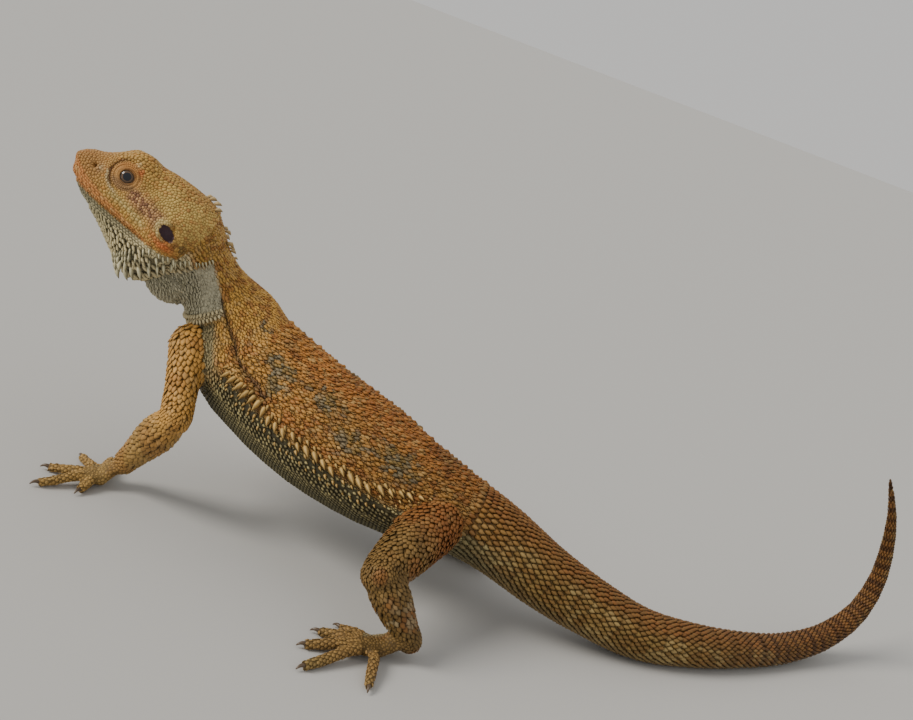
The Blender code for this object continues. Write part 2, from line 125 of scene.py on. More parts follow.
# The flank's grey patches: along, angle, half length, half width in degrees and strength.
PATCHES = ((44, 36, 9, 12, 0.45), (67, 44, 8, 11, 0.75), (70, 62, 6, 8, 0.8),
           (90, 42, 10, 13, 0.55), (106, 60, 10, 12, 0.5), (125, 50, 10, 15, 0.75))

# ---------------------------------------------------------------- the skin's own making
PUFF = 0.35                    # closes the clearances between the solids
VOXEL = 0.8
COAT_DEPTH = {"head": 0.4, "spine": 0.8, "limb": 0.7, "digit": 0.25}
LID_DEPTH = 0.2                # the skin sinks less round the eyes
LEAST_HEIGHT = 0.12            # of the skin over the floor
LINE_STEP = 0.8                # between the places read on a body line
LEAST_STEPS = 6
SEARCH_SHARE = 4096            # points measured at a time, to spare memory
DIGIT_GIRTH = 2.6              # skin nearer than this to a digit's line belongs to it
PALM_GIRTH = 5.5               # unless it is this near the palm's middle

SKIN = {}                      # the finished skin's surface, for the steps after it
SHAPES = {}                    # the forms of the scales by kind


def unit(vectors):
    vectors = np.asarray(vectors, float)
    return vectors / np.maximum(np.linalg.norm(vectors, axis=-1, keepdims=True), 1e-9)


def ease(value, low, high):
    """0 below low, 1 above high and smooth between them."""
    part = np.clip((value - low) / (high - low), 0.0, 1.0)
    return part * part * (3.0 - 2.0 * part)


def bell(value, middle, width):
    """1 at the middle and falling smoothly to both sides."""
    return np.exp(-((value - middle) / width) ** 2)


def hermite(at, values, where):
    """A smooth run through rows of values."""
    values = np.asarray(values, float)
    slopes = np.gradient(values, at, axis=0)
    low = np.clip(np.searchsorted(at, where) - 1, 0, len(at) - 2)
    gap = (at[low + 1] - at[low])[:, None]
    part = (where - at[low])[:, None] / gap
    return (values[low] * (2 * part**3 - 3 * part**2 + 1)
            + values[low + 1] * (3 * part**2 - 2 * part**3)
            + slopes[low] * gap * (part**3 - 2 * part**2 + part)
            + slopes[low + 1] * gap * (part**3 - part**2))


class Axis:
    """A smooth line through the middle of a part, with directions along, up and left."""

    def __init__(self, points, up=(0.0, 0.0, 1.0), level_at=0.0, roll=0.0, roll_end=1.0):
        points = np.array(points, float)
        steps = np.linalg.norm(np.diff(points, axis=0), axis=1)
        at = np.concatenate(([0.0], np.cumsum(steps)))
        self.s = np.linspace(0.0, at[-1], max(int(at[-1] / LINE_STEP), LEAST_STEPS))
        self.length = at[-1]
        self.stations = at
        self.centre = hermite(at, points, self.s)
        self.along = unit(np.gradient(self.centre, self.s, axis=0))
        self.up = np.empty_like(self.along)
        level = int(np.searchsorted(self.s, level_at))
        for rows in (range(level, len(self.s)), range(level, -1, -1)):
            carried = np.array(up, float)
            for row in rows:
                carried = unit(carried - self.along[row] * (carried @ self.along[row]))
                self.up[row] = carried
        self.left = np.cross(self.along, self.up)
        turn = np.radians(roll * np.clip(1.0 - self.s / roll_end, 0.0, 1.0))[:, None]
        self.left, self.up = (self.left * np.cos(turn) + self.up * np.sin(turn),
                              self.up * np.cos(turn) - self.left * np.sin(turn))

    def at(self, s):
        """Centre, along, up and left at one place."""
        row = int(np.clip(round(s / self.length * (len(self.s) - 1)), 0, len(self.s) - 1))
        centre = self.centre[row] + self.along[row] * (s - self.s[row])
        return centre, self.along[row], self.up[row], self.left[row]

    def locate(self, points):
        """How far along each point is, its angle from the top (left positive), its distance,
        and the line's direction there."""
        row = np.empty(len(points), int)
        for start in range(0, len(points), SEARCH_SHARE):
            part = points[start:start + SEARCH_SHARE]
            gaps = ((part[:, None, :] - self.centre[None]) ** 2).sum(2)
            row[start:start + SEARCH_SHARE] = gaps.argmin(1)
        away = points - self.centre[row]
        along = (away * self.along[row]).sum(1)
        aside = (away * self.left[row]).sum(1)
        above = (away * self.up[row]).sum(1)
        return (self.s[row] + along, np.degrees(np.arctan2(aside, above)),
                np.hypot(aside, above), self.along[row])


def middle_of(node):
    low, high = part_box(node)
    return (np.array(low) + np.array(high)) / 2 / MM


def head_axes():
    """The head's directions back, left and up; left runs from eye to eye."""
    turn, lift = math.radians(HEAD_TURN), math.radians(HEAD_LIFT)
    along = np.array((math.cos(lift) * math.cos(turn), math.cos(lift) * math.sin(turn),
                      -math.sin(lift)))
    left = unit(middle_of("eye_left") - middle_of("eye_right"))
    return along, left, np.cross(left, along)


HEAD_AXES = np.array(head_axes())
SHIFT = ((middle_of("eye_left") + middle_of("eye_right")) / 2 - np.array(SNOUT)
         - np.array(EYE_PLACE) * (1, 0, 1) @ HEAD_AXES)      # the tables to the frame's origin


def table(point):
    """A place of the tables in the frame's own position."""
    return np.array(point, float) + SHIFT


def at_head(along, aside, above, side=1.0):
    """The place in the frame of a place on the head."""
    return table(SNOUT) + np.array((along, aside * side, above)) @ HEAD_AXES


def in_head(points):
    """Along, aside and above the head's axis."""
    return (points - table(SNOUT)) @ HEAD_AXES.T


def mirrored(place, side):
    """A place of the head's left side on the side that is asked for."""
    return np.array(place) * (1, side, 1)


def gap_to(local, place):
    """Distance on the head to a place or its mirror image, whichever is nearer."""
    return np.min([np.linalg.norm(local - mirrored(place, side), axis=1) for side in (-1, 1)],
                  axis=0)


def round_line(up, left, degrees):
    """The direction out from a body line, by its angle from the top."""
    angle = math.radians(degrees)
    return up * math.cos(angle) + left * math.sin(angle)


def spine_axis():
    points = [table(row[1]) for row in SPINE]
    steps = np.linalg.norm(np.diff(points, axis=0), axis=1)
    names = [row[0] for row in SPINE]
    reach = {name: steps[:names.index(name)].sum() for name in ("shoulder", "loin")}
    return Axis(points, (0.0, 0.0, 1.0), reach["loin"], NECK_ROLL, reach["shoulder"])


def make_axes():
    """The lines of the whole body by name, digits among them."""
    axes = {"head": Axis([at_head(a, 0, 0) for a in np.linspace(0, HEAD_LENGTH, 6)],
                         HEAD_AXES[2]),
            "spine": spine_axis()}
    for limb, joints in LIMBS.items():
        joints = [table(joint) for joint in joints]
        outward = np.array((0.0, -1.0 if limb.endswith("left") else 1.0, 0.35))
        axes[limb] = Axis(joints, outward)
        kind, side = limb.split("_")
        foot = LIMB_NODES[kind][2]
        for number in range(1, 6):
            claw = middle_of(f"claw_{foot}_{side}_{number}")
            palm = joints[3]
            ahead = unit((claw - palm) * (1, 1, 0))
            reach = np.linalg.norm((claw - palm)[:2]) - CLAW_ROOT
            rows = [palm + ahead * reach * part + (0, 0, level)
                    for part, level in ((0.2, 0.2), (0.5, 0.0), (0.75, -1.0), (1.0, -2.0))]
            axes[f"{limb}_{number}"] = Axis(rows)
    return axes


AXES = make_axes()
AXIS_NAMES = list(AXES)
NUMBER = {name: number for number, name in enumerate(AXIS_NAMES)}
DIGITS = [number for name, number in NUMBER.items() if name.count("_") == 2]
S = {row[0]: s for row, s in zip(SPINE, AXES["spine"].stations)}


def deselect():
    if bpy.context.object and bpy.context.object.mode != "OBJECT":
        bpy.ops.object.mode_set(mode="OBJECT")
    bpy.ops.object.select_all(action="DESELECT")


def choose(thing):
    deselect()
    thing.select_set(True)
    bpy.context.view_layer.objects.active = thing


def points_of(thing):
    work = np.empty(len(thing.data.vertices) * 3)
    thing.data.vertices.foreach_get("co", work)
    return work.reshape(-1, 3) / MM


def put_points(thing, points):
    thing.data.vertices.foreach_set("co", (points * MM).ravel())
    thing.data.update()


def normals_of(thing):
    work = np.empty(len(thing.data.vertices) * 3, np.float32)
    thing.data.vertex_normals.foreach_get("vector", work)
    return work.reshape(-1, 3).astype(float)


def edges_of(thing):
    work = np.empty(len(thing.data.edges) * 2, np.int32)
    thing.data.edges.foreach_get("vertices", work)
    return work.reshape(-1, 2)


def relax(points, edges, passes, weight):
    """Evens a surface without shrinking it; weight is one number or one for each point."""
    weight = np.broadcast_to(np.asarray(weight, float), len(points))[:, None]
    first, second = edges.T
    count = np.bincount(edges.ravel(), minlength=len(points)).clip(1)[:, None]
    for turn in range(passes * 2):
        total = np.stack([np.bincount(first, points[second, i], len(points))
                          + np.bincount(second, points[first, i], len(points))
                          for i in range(3)], 1)
        share = 0.5 if turn % 2 == 0 else -0.52
        points = points + (total / count - points) * share * weight
    return points


def cloud(points, size, seed=0):
    """Soft random values from 0 to 1 that change over a given distance."""
    work = points / size + seed * 17.3
    cell = np.floor(work).astype(np.int64)
    part = work - cell
    part = part * part * (3.0 - 2.0 * part)
    total = np.zeros(len(points))
    for corner in itertools.product((0, 1), repeat=3):
        at = cell + corner
        mixed = (at[:, 0] * 73856093) ^ (at[:, 1] * 19349663) ^ (at[:, 2] * 83492791)
        mixed = (mixed ^ (mixed >> 13)) * 1274126177 & 0x7FFFFFFF
        value = ((mixed ^ (mixed >> 16)) & 0xFFFF) / 65535.0
        total += value * np.prod(np.where(corner, part, 1.0 - part), axis=1)
    return total


# ---------------------------------------------------------------- colours
def paint(red, green, blue):
    """A colour given in the usual 0 to 255 steps, as linear light."""
    values = np.array((red, green, blue)) / 255.0
    return np.where(values < 0.04045, values / 12.92, ((values + 0.055) / 1.055) ** 2.4)


GOLD = paint(180, 142, 70)
TAN = paint(190, 152, 92)
ORANGE = paint(180, 114, 52)
RUST = paint(142, 82, 38)
BROWN = paint(96, 62, 34)
DARK = paint(48, 36, 24)
OLIVE = paint(122, 104, 58)
SLATE = paint(116, 112, 90)
CREAM = paint(216, 200, 156)
PALE = paint(172, 162, 122)
GREY = paint(172, 166, 140)
LIP = paint(190, 122, 68)
CHEEK = paint(200, 110, 58)
STRAW = paint(198, 170, 98)
DRUM = paint(86, 68, 78)
SPINE_TINT = paint(212, 184, 132)
FRINGE_TINT = paint(206, 170, 104)


def mix(base, colour, share):
    """Lays a colour over another, by a share for each point."""
    share = np.broadcast_to(np.clip(share, 0.0, 1.0), len(base))
    return base + (colour - base) * share[:, None]


def mouth_line(along):
    """Height of the closed lips, curling up at the snout."""
    return MOUTH_HEIGHT - MOUTH_FALL * along + MOUTH_CURL * np.exp(-along / CURL_LENGTH)


def over_lip(local):
    return local[..., 2] - mouth_line(local[..., 0])


def lip_height(along):
    """How high the lip's long rows reach."""
    return 4.7 - 0.115 * along


def round_eye(local, side):
    """Places round an eye: towards the rear, upwards, and out along its look."""
    away = local - mirrored(EYE_PLACE, side)
    look = unit(mirrored(EYE_LOOK, side))
    level = unit(np.array((1.0, 0.0, 0.0)) - look * look[0])
    upright = unit(np.array((0.0, 0.0, 1.0)) - look * look[2] - level * level[2])
    return away @ level, away @ upright, away @ look, level, upright, look


def eye_colours(colour, local, side):
    """Lids, the groove before them with painted shade in it, and the marks behind."""
    rear, over, deep, *_ = round_eye(local, side)
    flat = np.hypot(rear, over)
    turn = np.degrees(np.arctan2(over, rear))
    facing = ease(deep, 0.3, 1.5)
    lid = facing * (1 - ease(flat, 4.8, 5.6))
    colour = mix(colour, paint(190, 142, 82), lid)
    colour = mix(colour, ORANGE, lid * ease(over, 0.0, 3.0) * 0.4)
    colour = mix(colour, paint(142, 112, 80), lid * ease(-over, 1.0, 3.0) * 0.7)
    colour = mix(colour, BROWN, facing * bell(flat, 2.5, 0.4) * 0.9)
    # Painted shade in the groove before the eye.
    ahead = ease(abs(turn), 105, 140)
    colour = mix(colour, paint(104, 68, 46), facing * bell(flat, 5.9, 0.6) * ahead * 0.9)
    low = ease(-turn, 85, 110) * (1 - ease(-turn, 165, 178))
    colour = mix(colour, paint(206, 184, 140), facing * bell(flat, 6.7, 0.45) * low * 0.9)
    colour = mix(colour, CHEEK, facing * bell(np.hypot(rear - 3.4, over - 3.8), 0, 0.95))
    return mix(colour, paint(214, 186, 134), facing
               * bell(np.hypot(rear - 1.2, over - 5.6), 0, 0.9) * 0.8)


def cheek_edge(local):
    """How far a place lies under the line between the gold of the head and the beard."""
    along, _, above = local.T
    edge = np.interp(along, EDGE_PLACES, EDGE_HEIGHTS)
    return np.where(along < EDGE_PLACES[0], mouth_line(along), edge) - above


def head_colours(points):
    local = in_head(points)
    along, aside, above = local.T
    aside = abs(aside)
    fine, spots, broad = cloud(points, 1.0, 3), cloud(points, 1.5, 4), cloud(points, 9.0, 5)
    over = over_lip(local)
    colour = np.tile(GOLD, (len(points), 1))
    colour = mix(colour, TAN, 0.5 * broad)
    colour = mix(colour, paint(168, 118, 72), (1 - ease(along, 5, 16)) * 0.6)
    colour = mix(colour, STRAW, ease(along, 21, 32) * ease(above, -6, 3)
                 * (1 - ease(above, 9, 14)) * 0.7)
    colour = mix(colour, ORANGE, 0.4 * ease(fine, 0.55, 0.8))
    colour = mix(colour, RUST, 0.45 * ease(spots, 0.62, 0.74) * ease(along, 18, 26))
    temple = bell(above, TEMPLE[0] - TEMPLE[1] * (along - 19), 2.6) * ease(along, 18.5, 21.5)
    temple = np.minimum(temple * 1.3, 1) * (1 - ease(along, 33, 36))
    colour = mix(colour, paint(186, 142, 98), temple * 0.9)
    colour = mix(colour, paint(112, 74, 54),
                 temple * ease(cloud(points, 0.6, 6), 0.42, 0.52) * 0.85)
    cheek = -2.0 - 0.08 * (along - 16) - 0.013 * (along - 16) ** 2
    cheek = bell(above, cheek, 1.3) * ease(along, 13, 16) * (1 - ease(along, 28, 32))
    colour = mix(colour, paint(188, 162, 100), cheek)
    height = lip_height(along)
    lip = ease(over, -0.2, 0.3) * (1 - ease(over, height - 0.7, height + 0.5))
    lip = lip * (1 - ease(along, 32, 37))
    colour = mix(colour, LIP, lip * 0.75)
    colour = mix(colour, paint(200, 160, 102), lip * ease(fine, 0.5, 0.8) * 0.6)
    colour = mix(colour, paint(196, 172, 132), bell(along, 8.3, 1.1) * bell(above, 3.2, 1.5)
                 * ease(aside, 5, 7) * 0.6)
    patch = bell(along, 38.6, 4.4) * bell(above + 0.15 * (along - 39), -7.3, 1.7)
    colour = mix(colour, CHEEK, patch * ease(aside, 10, 15) * 0.95)
    under = ease(cheek_edge(local), 0.0, 0.8)
    colour = mix(colour, PALE, under)
    colour = mix(colour, CREAM, under * ease(along, 6, 30) * 0.6)
    colour = mix(colour, GREY, under * (1 - ease(along, 4, 20)) * 0.6)
    # A dark row under the mouth line: partly the lower lip's dark scales, partly painted shadow of
    # the lips.
    chin = bell(over, -0.9, 0.8) * (1 - ease(along, 28, 34)) * ease(along, 2, 6)
    colour = mix(colour, paint(84, 80, 60), chin * 0.7)
    behind_ear = bell(along, 44.5, 3.0) * bell(above, -5.5, 3.2) * ease(aside, 8, 13)
    colour = mix(colour, DARK, behind_ear * ease(fine, 0.42, 0.52) * 0.7)
    for side in (-1, 1):
        colour = eye_colours(colour, local, side)
        ear = ear_reach(local, side)
        colour = mix(colour, paint(212, 190, 130), bell(ear, 1.25, 0.28)
                     * (1 - ease(along, 36.5, 39)) * 0.9)
        colour = mix(colour, DRUM, 1 - ease(ear, 0.86, 1.0))
    return colour


def ear_reach(local, side):
    """1 on the rim of the ear's opening, less inside it; its rear end lies lower."""
    away = local - mirrored(EAR_PLACE, side)
    long = away[:, 0] * math.cos(EAR_LEAN) - away[:, 2] * math.sin(EAR_LEAN)
    tall = away[:, 2] * math.cos(EAR_LEAN) + away[:, 0] * math.sin(EAR_LEAN)
    return np.where(abs(away[:, 1]) < 5.0, np.hypot(long / EAR_SIZE[0], tall / EAR_SIZE[1]), 9.0)


def ear_gap(local):
    """The reach of the nearer ear."""
    return np.minimum(ear_reach(local, 1), ear_reach(local, -1))


def line_gap(s, turn, line):
    """Distance to a line drawn on the body by places along it and angles."""
    flat = np.stack((s, turn * SKIN_DEGREE), 1)
    best = np.full(len(flat), 99.0)
    for start, stop in itertools.pairwise(line):
        start, stop = (np.array(corner) * (1.0, SKIN_DEGREE) for corner in (start, stop))
        run = stop - start
        part = np.clip((flat - start) @ run / (run @ run), 0, 1)[:, None]
        best = np.minimum(best, np.linalg.norm(flat - start - part * run, axis=1))
    return best


def throat_share(s, turn):
    """Where the grey skin of the throat shows, between the jaw's edge and the collar."""
    start = np.interp(turn, *GREY_EDGE)
    return ease(s - start, -0.5, 0.7) * ease(turn, 72, 79) * (1 - ease(s, COLLAR - 1, COLLAR + 3))


def grey_patches(colour, s, angle, fine, spots):
    """Uneven grey blotches along the flank, set off a little on the right side."""
    grey = np.zeros(len(colour))
    for place, around, long, wide, share in PATCHES:
        shift = np.where(angle < 0, 5.0, 0.0)
        grey = np.maximum(grey, share * bell(s + shift, place, long)
                          * bell(abs(angle), around, wide))
    grey = ease(grey * 1.2 + 0.9 * (spots - 0.5), 0.3, 0.62)
    blotch = mix(np.tile(OLIVE, (len(colour), 1)), SLATE, ease(fine, 0.35, 0.6))
    return mix(colour, blotch, grey * 0.8)


def tail_colours(colour, s, turn, tail, clouds):
    """Brown on top, olive at the sides, and dark bands towards the tip."""
    fine, spots, patches, broad = clouds
    side = tail * ease(turn, 32, 62)
    colour = mix(colour, paint(120, 86, 44), tail * 0.9)
    colour = mix(colour, RUST, tail * ease(fine, 0.5, 0.7) * 0.35)
    colour = mix(colour, paint(136, 114, 64), side * (0.35 + 0.65 * ease(fine, 0.4, 0.6)) * 0.7
                 * (1 - ease(s, S["tail_down"], S["tail_lift"]) * 0.7))
    colour = mix(colour, paint(168, 146, 96), side * ease(patches, 0.52, 0.66)
                 * ease(spots, 0.4, 0.6) * 0.6)
    bands = np.sin(s / (10.5 - 2.5 * ease(s, S["tail_bend"], S["tail_tip"])) * 2 * math.pi
                   + 0.8 * broad)
    banding = ease(s, S["tail_down"], S["tail_lift"])
    colour = mix(colour, paint(70, 44, 24), banding * ease(bands, -0.3, 0.5) * 0.85)
    return mix(colour, paint(116, 78, 42), banding * ease(-bands, -0.1, 0.7) * 0.6)


def under_colours(colour, s, turn, tail, fine):
    """The belly, the underside of the tail, and the throat with its collar."""
    low = ease(turn, 83, 88) * (1 - tail) * ease(s, 46, 56)
    colour = mix(colour, paint(124, 114, 80), low)
    colour = mix(colour, paint(176, 162, 112), low * ease(fine, 0.45, 0.7) * 0.7)
    belly = ease(turn, 104, 116) * (1 - 0.6 * tail)
    colour = mix(colour, paint(98, 92, 66), belly * 0.88)
    colour = mix(colour, paint(128, 106, 70), ease(turn, 110, 140) * tail * 0.8)
    front = 1 - ease(s, 44, 56)
    colour = mix(colour, paint(142, 134, 100), front * ease(turn, 84, 96) * 0.9
                 * ease(s, COLLAR, COLLAR + 4))
    jaw = ease(turn, 98, 106) * (1 - ease(s, 8, 11))
    colour = mix(colour, CREAM, jaw * 0.8)
    throat = throat_share(s, turn)
    colour = mix(colour, GREY, throat)
    colour = mix(colour, paint(158, 152, 124), throat * ease(turn, 104, 118)
                 * ease(fine, 0.5, 0.7) * 0.7)
    return mix(colour, CREAM, bell(s, COLLAR, 1.4) * ease(turn, 76, 84) * 0.9)


def spine_colours(points, s, angle):
    """Neck, trunk and tail."""
    turn = abs(angle)
    fine, spots = cloud(points, 1.2, 7), cloud(points, 1.9, 8)
    patches, broad = cloud(points * (1, 1, 1.4), 9.0, 9), cloud(points, 24.0, 10)
    colour = np.tile(paint(170, 124, 62), (len(points), 1))
    colour = mix(colour, ORANGE, (1 - ease(turn, 20, 55)) * ease(s, 30, 70) * 0.7)
    colour = mix(colour, GOLD, (1 - ease(s, S["throat"], S["ribs"])) * 0.7)
    colour = colour * (1 + 0.45 * bell(s, 30.0, 20.0))[:, None]
    colour = mix(colour, TAN, ease(fine, 0.5, 0.74) * 0.8)
    colour = mix(colour, RUST, ease(spots, 0.5, 0.72) * 0.6)
    colour = mix(colour, BROWN, ease(fine * 0.5 + patches * 0.5, 0.56, 0.7) * 0.4
                 * ease(s, 30, 60))
    colour = grey_patches(colour, s, angle, fine, spots)
    # Painted shade: the top of the back darker from the middle of the trunk rearwards.
    colour = colour * (1 - 0.1 * (1 - ease(turn, 20, 58)) * ease(s, 50, 85))[:, None]
    colour = colour * (1 - 0.16 * ease(s, 75, 105) - 0.2 * ease(s, S["belly"], S["vent"]))[
        :, None]
    tail = ease(s, S["pelvis"], S["tail_fall"])
    colour = tail_colours(colour, s, turn, tail, (fine, spots, patches, broad))
    colour = under_colours(colour, s, turn, tail, fine)
    # Painted shade: a dark line in the fold behind the shoulder, where the skin is pressed in.
    fold = bell(line_gap(s, turn, SHOULDER_FOLD), 0, 1.2)
    return mix(colour, paint(70, 58, 44), fold * 0.75)


def limb_colours(points, s, angle, kind, part):
    fine, patches = cloud(points, 1.5, 11), cloud(points, 7.0, 12)
    base = paint(200, 154, 78) if kind == "arm" else paint(120, 92, 48)
    colour = np.tile(base, (len(points), 1))
    if kind == "leg":
        colour = mix(colour, paint(144, 84, 38), (1 - ease(s, 8, 24)) * 0.7)
        colour = mix(colour, paint(108, 86, 48), ease(s, 34, 44) * 0.6)
    else:
        colour = mix(colour, ORANGE, (1 - ease(s, 24, 44)) * 0.25)
        colour = mix(colour, paint(150, 120, 68), ease(s, 26, 44) * 0.8)
    colour = mix(colour, TAN, ease(fine, 0.5, 0.8) * (0.5 if kind == "arm" else 0.2))
    colour = mix(colour, RUST, ease(patches, 0.5, 0.75) * (0.4 if kind == "leg" else 0.3))
    if kind == "leg":
        colour = mix(colour, paint(160, 152, 122), ease(fine * 0.6 + patches * 0.5, 0.6, 0.7)
                     * bell(s, 54, 7) * 0.42)
    inner = ease(abs(angle), 105, 140)
    colour = mix(colour, PALE, inner * 0.5 * (1 - part))
    return mix(colour, paint(158, 134, 82), np.maximum(part * 0.6, ease(s, 58, 72) * 0.35
                                                       if kind == "arm" else part * 0.5))


def markings_and_shade(points, axis, s, angle):
    """The colour of each point of the skin, or of the scale that grows there, with painted shade in
    the fold behind the shoulder, on the top of the back, in the grooves before the eyes and under
    the mouth line.
    """
    colour = np.zeros((len(points), 3))
    for name, number in NUMBER.items():
        here = axis == number
        if not here.any():
            continue
        if name == "head":
            colour[here] = head_colours(points[here])
        elif name == "spine":
            colour[here] = spine_colours(points[here], s[here], angle[here])
        else:
            kind = name.split("_")[0]
            digit = 1.0 if name.count("_") == 2 else 0.0
            colour[here] = limb_colours(points[here], s[here], angle[here], kind, digit)
    return colour * (0.88 + 0.24 * cloud(points, 3.0, 13))[:, None]


# ---------------------------------------------------------------- the skin
def flesh_names():
    """The solids that the one skin replaces."""
    names = ["head", "lower_jaw", *SPINE_NODES]
    for parts in LIMB_NODES.values():
        names += [f"{part}_{side}" for part in parts for side in SIDES]
    return names


def merged_copy(node, puff):
    """A welded copy of a solid, a little fuller than it."""
    copy = bpy.data.objects.new("flesh_" + node, nodes[node].data.copy())
    bpy.context.scene.collection.objects.link(copy)
    choose(copy)
    bpy.ops.object.mode_set(mode="EDIT")
    bpy.ops.mesh.select_all(action="SELECT")
    bpy.ops.mesh.remove_doubles(threshold=1e-6)
    bpy.ops.object.mode_set(mode="OBJECT")
    if puff:
        put_points(copy, points_of(copy) + normals_of(copy) * puff)
    return copy


def apply(thing, kind, **settings):
    choose(thing)
    modifier = thing.modifiers.new(kind.lower(), kind)
    for name, value in settings.items():
        setattr(modifier, name, value)
    bpy.ops.object.modifier_apply(modifier=modifier.name)


class Surface:
    """The finished skin as it is asked for places, normals and body parts."""

    def __init__(self, thing):
        self.points = points_of(thing)
        self.normals = normals_of(thing)
        self.faces = [tuple(p.vertices) for p in thing.data.polygons]
        self.corner_faces = np.array([face[:3] for face in self.faces])
        self.tree = BVHTree.FromPolygons([Vector(p) for p in self.points], self.faces)
        self.point_axis = name_parts(self.points)
        self.axis = self.point_axis[self.corner_faces[:, 0]]
        self.point_s, self.point_angle, _ = along_lines(self.points, self.point_axis)

    def normal(self, face):
        return unit(self.normals[list(self.faces[face])].mean(0))

    def cast(self, start, toward, reach=60.0):
        """Where a line from inside or outside meets the skin: place, normal and face."""
        place, _, face, _ = self.tree.ray_cast(Vector(start), Vector(toward), reach)
        if place is None:
            return None
        return np.array(place), self.normal(face), face

    def nearest(self, point):
        place, _, face, _ = self.tree.find_nearest(Vector(point))
        return np.array(place), self.normal(face), face


def name_parts(points):
    """Which of the body's lines each point belongs to, by the solid nearest to it."""
    corners, faces, owner = [], [], []
    for name in flesh_names():
        mesh = nodes[name].data
        base = len(corners)
        corners += [v.co / MM for v in mesh.vertices]
        for polygon in mesh.polygons:
            faces.append([base + i for i in polygon.vertices])
            owner.append(name)
    tree = BVHTree.FromPolygons(corners, faces)
    line_of = {"head": "head", "lower_jaw": "head", **{n: "spine" for n in SPINE_NODES}}
    for kind, parts in LIMB_NODES.items():
        for part, side in itertools.product(parts, SIDES):
            line_of[f"{part}_{side}"] = f"{kind}_{side}"
    solid = [owner[tree.find_nearest(Vector(p))[2]] for p in points]
    axis = np.array([NUMBER[line_of[name]] for name in solid])
    solid = np.array(solid)
    for kind, parts in LIMB_NODES.items():
        for side in SIDES:
            here = np.flatnonzero(solid == f"{parts[2]}_{side}")
            best = np.full(len(here), DIGIT_GIRTH)
            palm = table(LIMBS[f"{kind}_{side}"][3])
            for number in range(1, 6):
                name = f"{kind}_{side}_{number}"
                s, _, reach, _ = AXES[name].locate(points[here])
                closer = (reach < best) & (s > 2.0)
                closer &= np.linalg.norm((points[here] - palm)[:, :2], axis=1) > PALM_GIRTH
                best = np.where(closer, reach, best)
                axis[here[closer]] = NUMBER[name]
    return axis


def along_lines(points, axis):
    s, angle, lie = np.zeros(len(points)), np.zeros(len(points)), np.zeros((len(points), 3))
    for name, number in NUMBER.items():
        here = axis == number
        if here.any():
            s[here], angle[here], _, lie[here] = AXES[name].locate(points[here])
    return s, angle, lie


def coat_depth(axis, s):
    """How far the skin lies inside the solids, for the scales on it."""
    depth = np.full(len(axis), COAT_DEPTH["limb"])
    depth[axis == NUMBER["head"]] = COAT_DEPTH["head"]
    spine = axis == NUMBER["spine"]
    depth[spine] = COAT_DEPTH["spine"] * (1 - 0.7 * ease(s[spine], S["tail_bend"], S["tail_tip"]))
    depth[np.isin(axis, DIGITS)] = COAT_DEPTH["digit"]
    return depth


def shape_head(points, normals, axis):
    """Lids, nostrils, mouth line, ears, brow and folds, as moves of the head's skin."""
    local = in_head(points)
    along, aside, _ = local.T
    out = np.zeros(len(points))
    head = axis == NUMBER["head"]
    over = over_lip(local)
    mouth = (1 - ease(along, MOUTH_END - 2, MOUTH_END + 1)) * head
    out -= 0.8 * bell(over, 0.0, 0.4) * mouth
    out += 0.3 * bell(over, 1.4, 0.8) * mouth
    out += 0.25 * bell(over, -1.5, 0.8) * mouth
    out += 0.5 * bell(np.hypot(along - MOUTH_END - 1.5, over * 0.8), 0, 1.6) * (abs(aside) > 10)
    out -= 0.5 * (1 - ease(along, 1, 7)) * (1 - ease(over, -0.6, 0.2)) * head
    top = ease(local[:, 2], 4, 8) * head
    out += top * (1.3 * bell(np.hypot((along - 17.5) / 5.0, (abs(aside) - 6.5) / 4.0), 0, 1.0)
                  - 0.6 * bell(along, 26.5, 3.0))
    out += 0.9 * bell(along, 2.5, 2.8) * ease(local[:, 2], 1, 4) * head
    moved = points + normals * out[:, None]
    blunt = np.maximum(SNOUT_ROUND - in_head(moved)[:, 0], 0) * 0.6 * head
    moved = moved + HEAD_AXES[0] * blunt[:, None]
    local = in_head(moved)
    front = bell(local[:, 0], 1.5, 2.6) * bell(local[:, 2], 2.5, 2.4) * head
    moved = moved + (HEAD_AXES[2] * 0.4 - HEAD_AXES[0] * 1.5) * front[:, None]
    for side in (-1, 1):
        local = in_head(moved)
        reach = np.linalg.norm(local - mirrored(NOSTRIL, side), axis=1)
        press = -1.6 * bell(reach, 0.0, 0.75) + 0.28 * bell(reach, 1.35, 0.45)
        ear = ear_reach(local, side)
        press += 0.35 * bell(ear, 1.25, 0.2) * (1 - ease(local[:, 0], 37, 41)) * (ear < 3)
        press -= 0.75 * (1 - ease(ear, 0.8, 1.05))
        rear, above, deep, level, upright, look = round_eye(local, side)
        flat = np.hypot(rear, above)
        ahead = ease(-rear, -2.5, 2.5) * (deep > 0)
        press -= 0.55 * bell(flat, 5.9, 0.6) * ahead
        press += 0.3 * bell(flat, 6.9, 0.6) * ahead
        moved = moved + normals * press[:, None]
        away = in_head(moved) - mirrored(EYE_PLACE, side)
        ring = np.hypot(away @ level / EYE_OPENING[0], away @ upright / EYE_OPENING[1])
        reach = np.linalg.norm(away, axis=1)
        facing = (away @ look > 0.6) & (reach < 8.0) & (flat < 6.0)
        wrinkle = 0.16 * np.cos((flat - 2.9) * 2 * math.pi / 0.9) * bell(flat, 4.0, 1.4)
        lids = facing & (ring >= 1.0)
        target = np.where(ring < 1.35, EYE_BALL + 0.28 + 0.5 * ease(ring, 1.0, 1.3), reach)
        target = np.where(lids, target + wrinkle, target)
        target = np.where(facing & (ring < 1.0), EYE_BALL - 1.3, target)
        away = away * (target / np.maximum(reach, 0.1))[:, None]
        place = at_head(*EYE_PLACE, side=side) + away @ HEAD_AXES
        moved = np.where(facing[:, None], place, moved)
    return moved


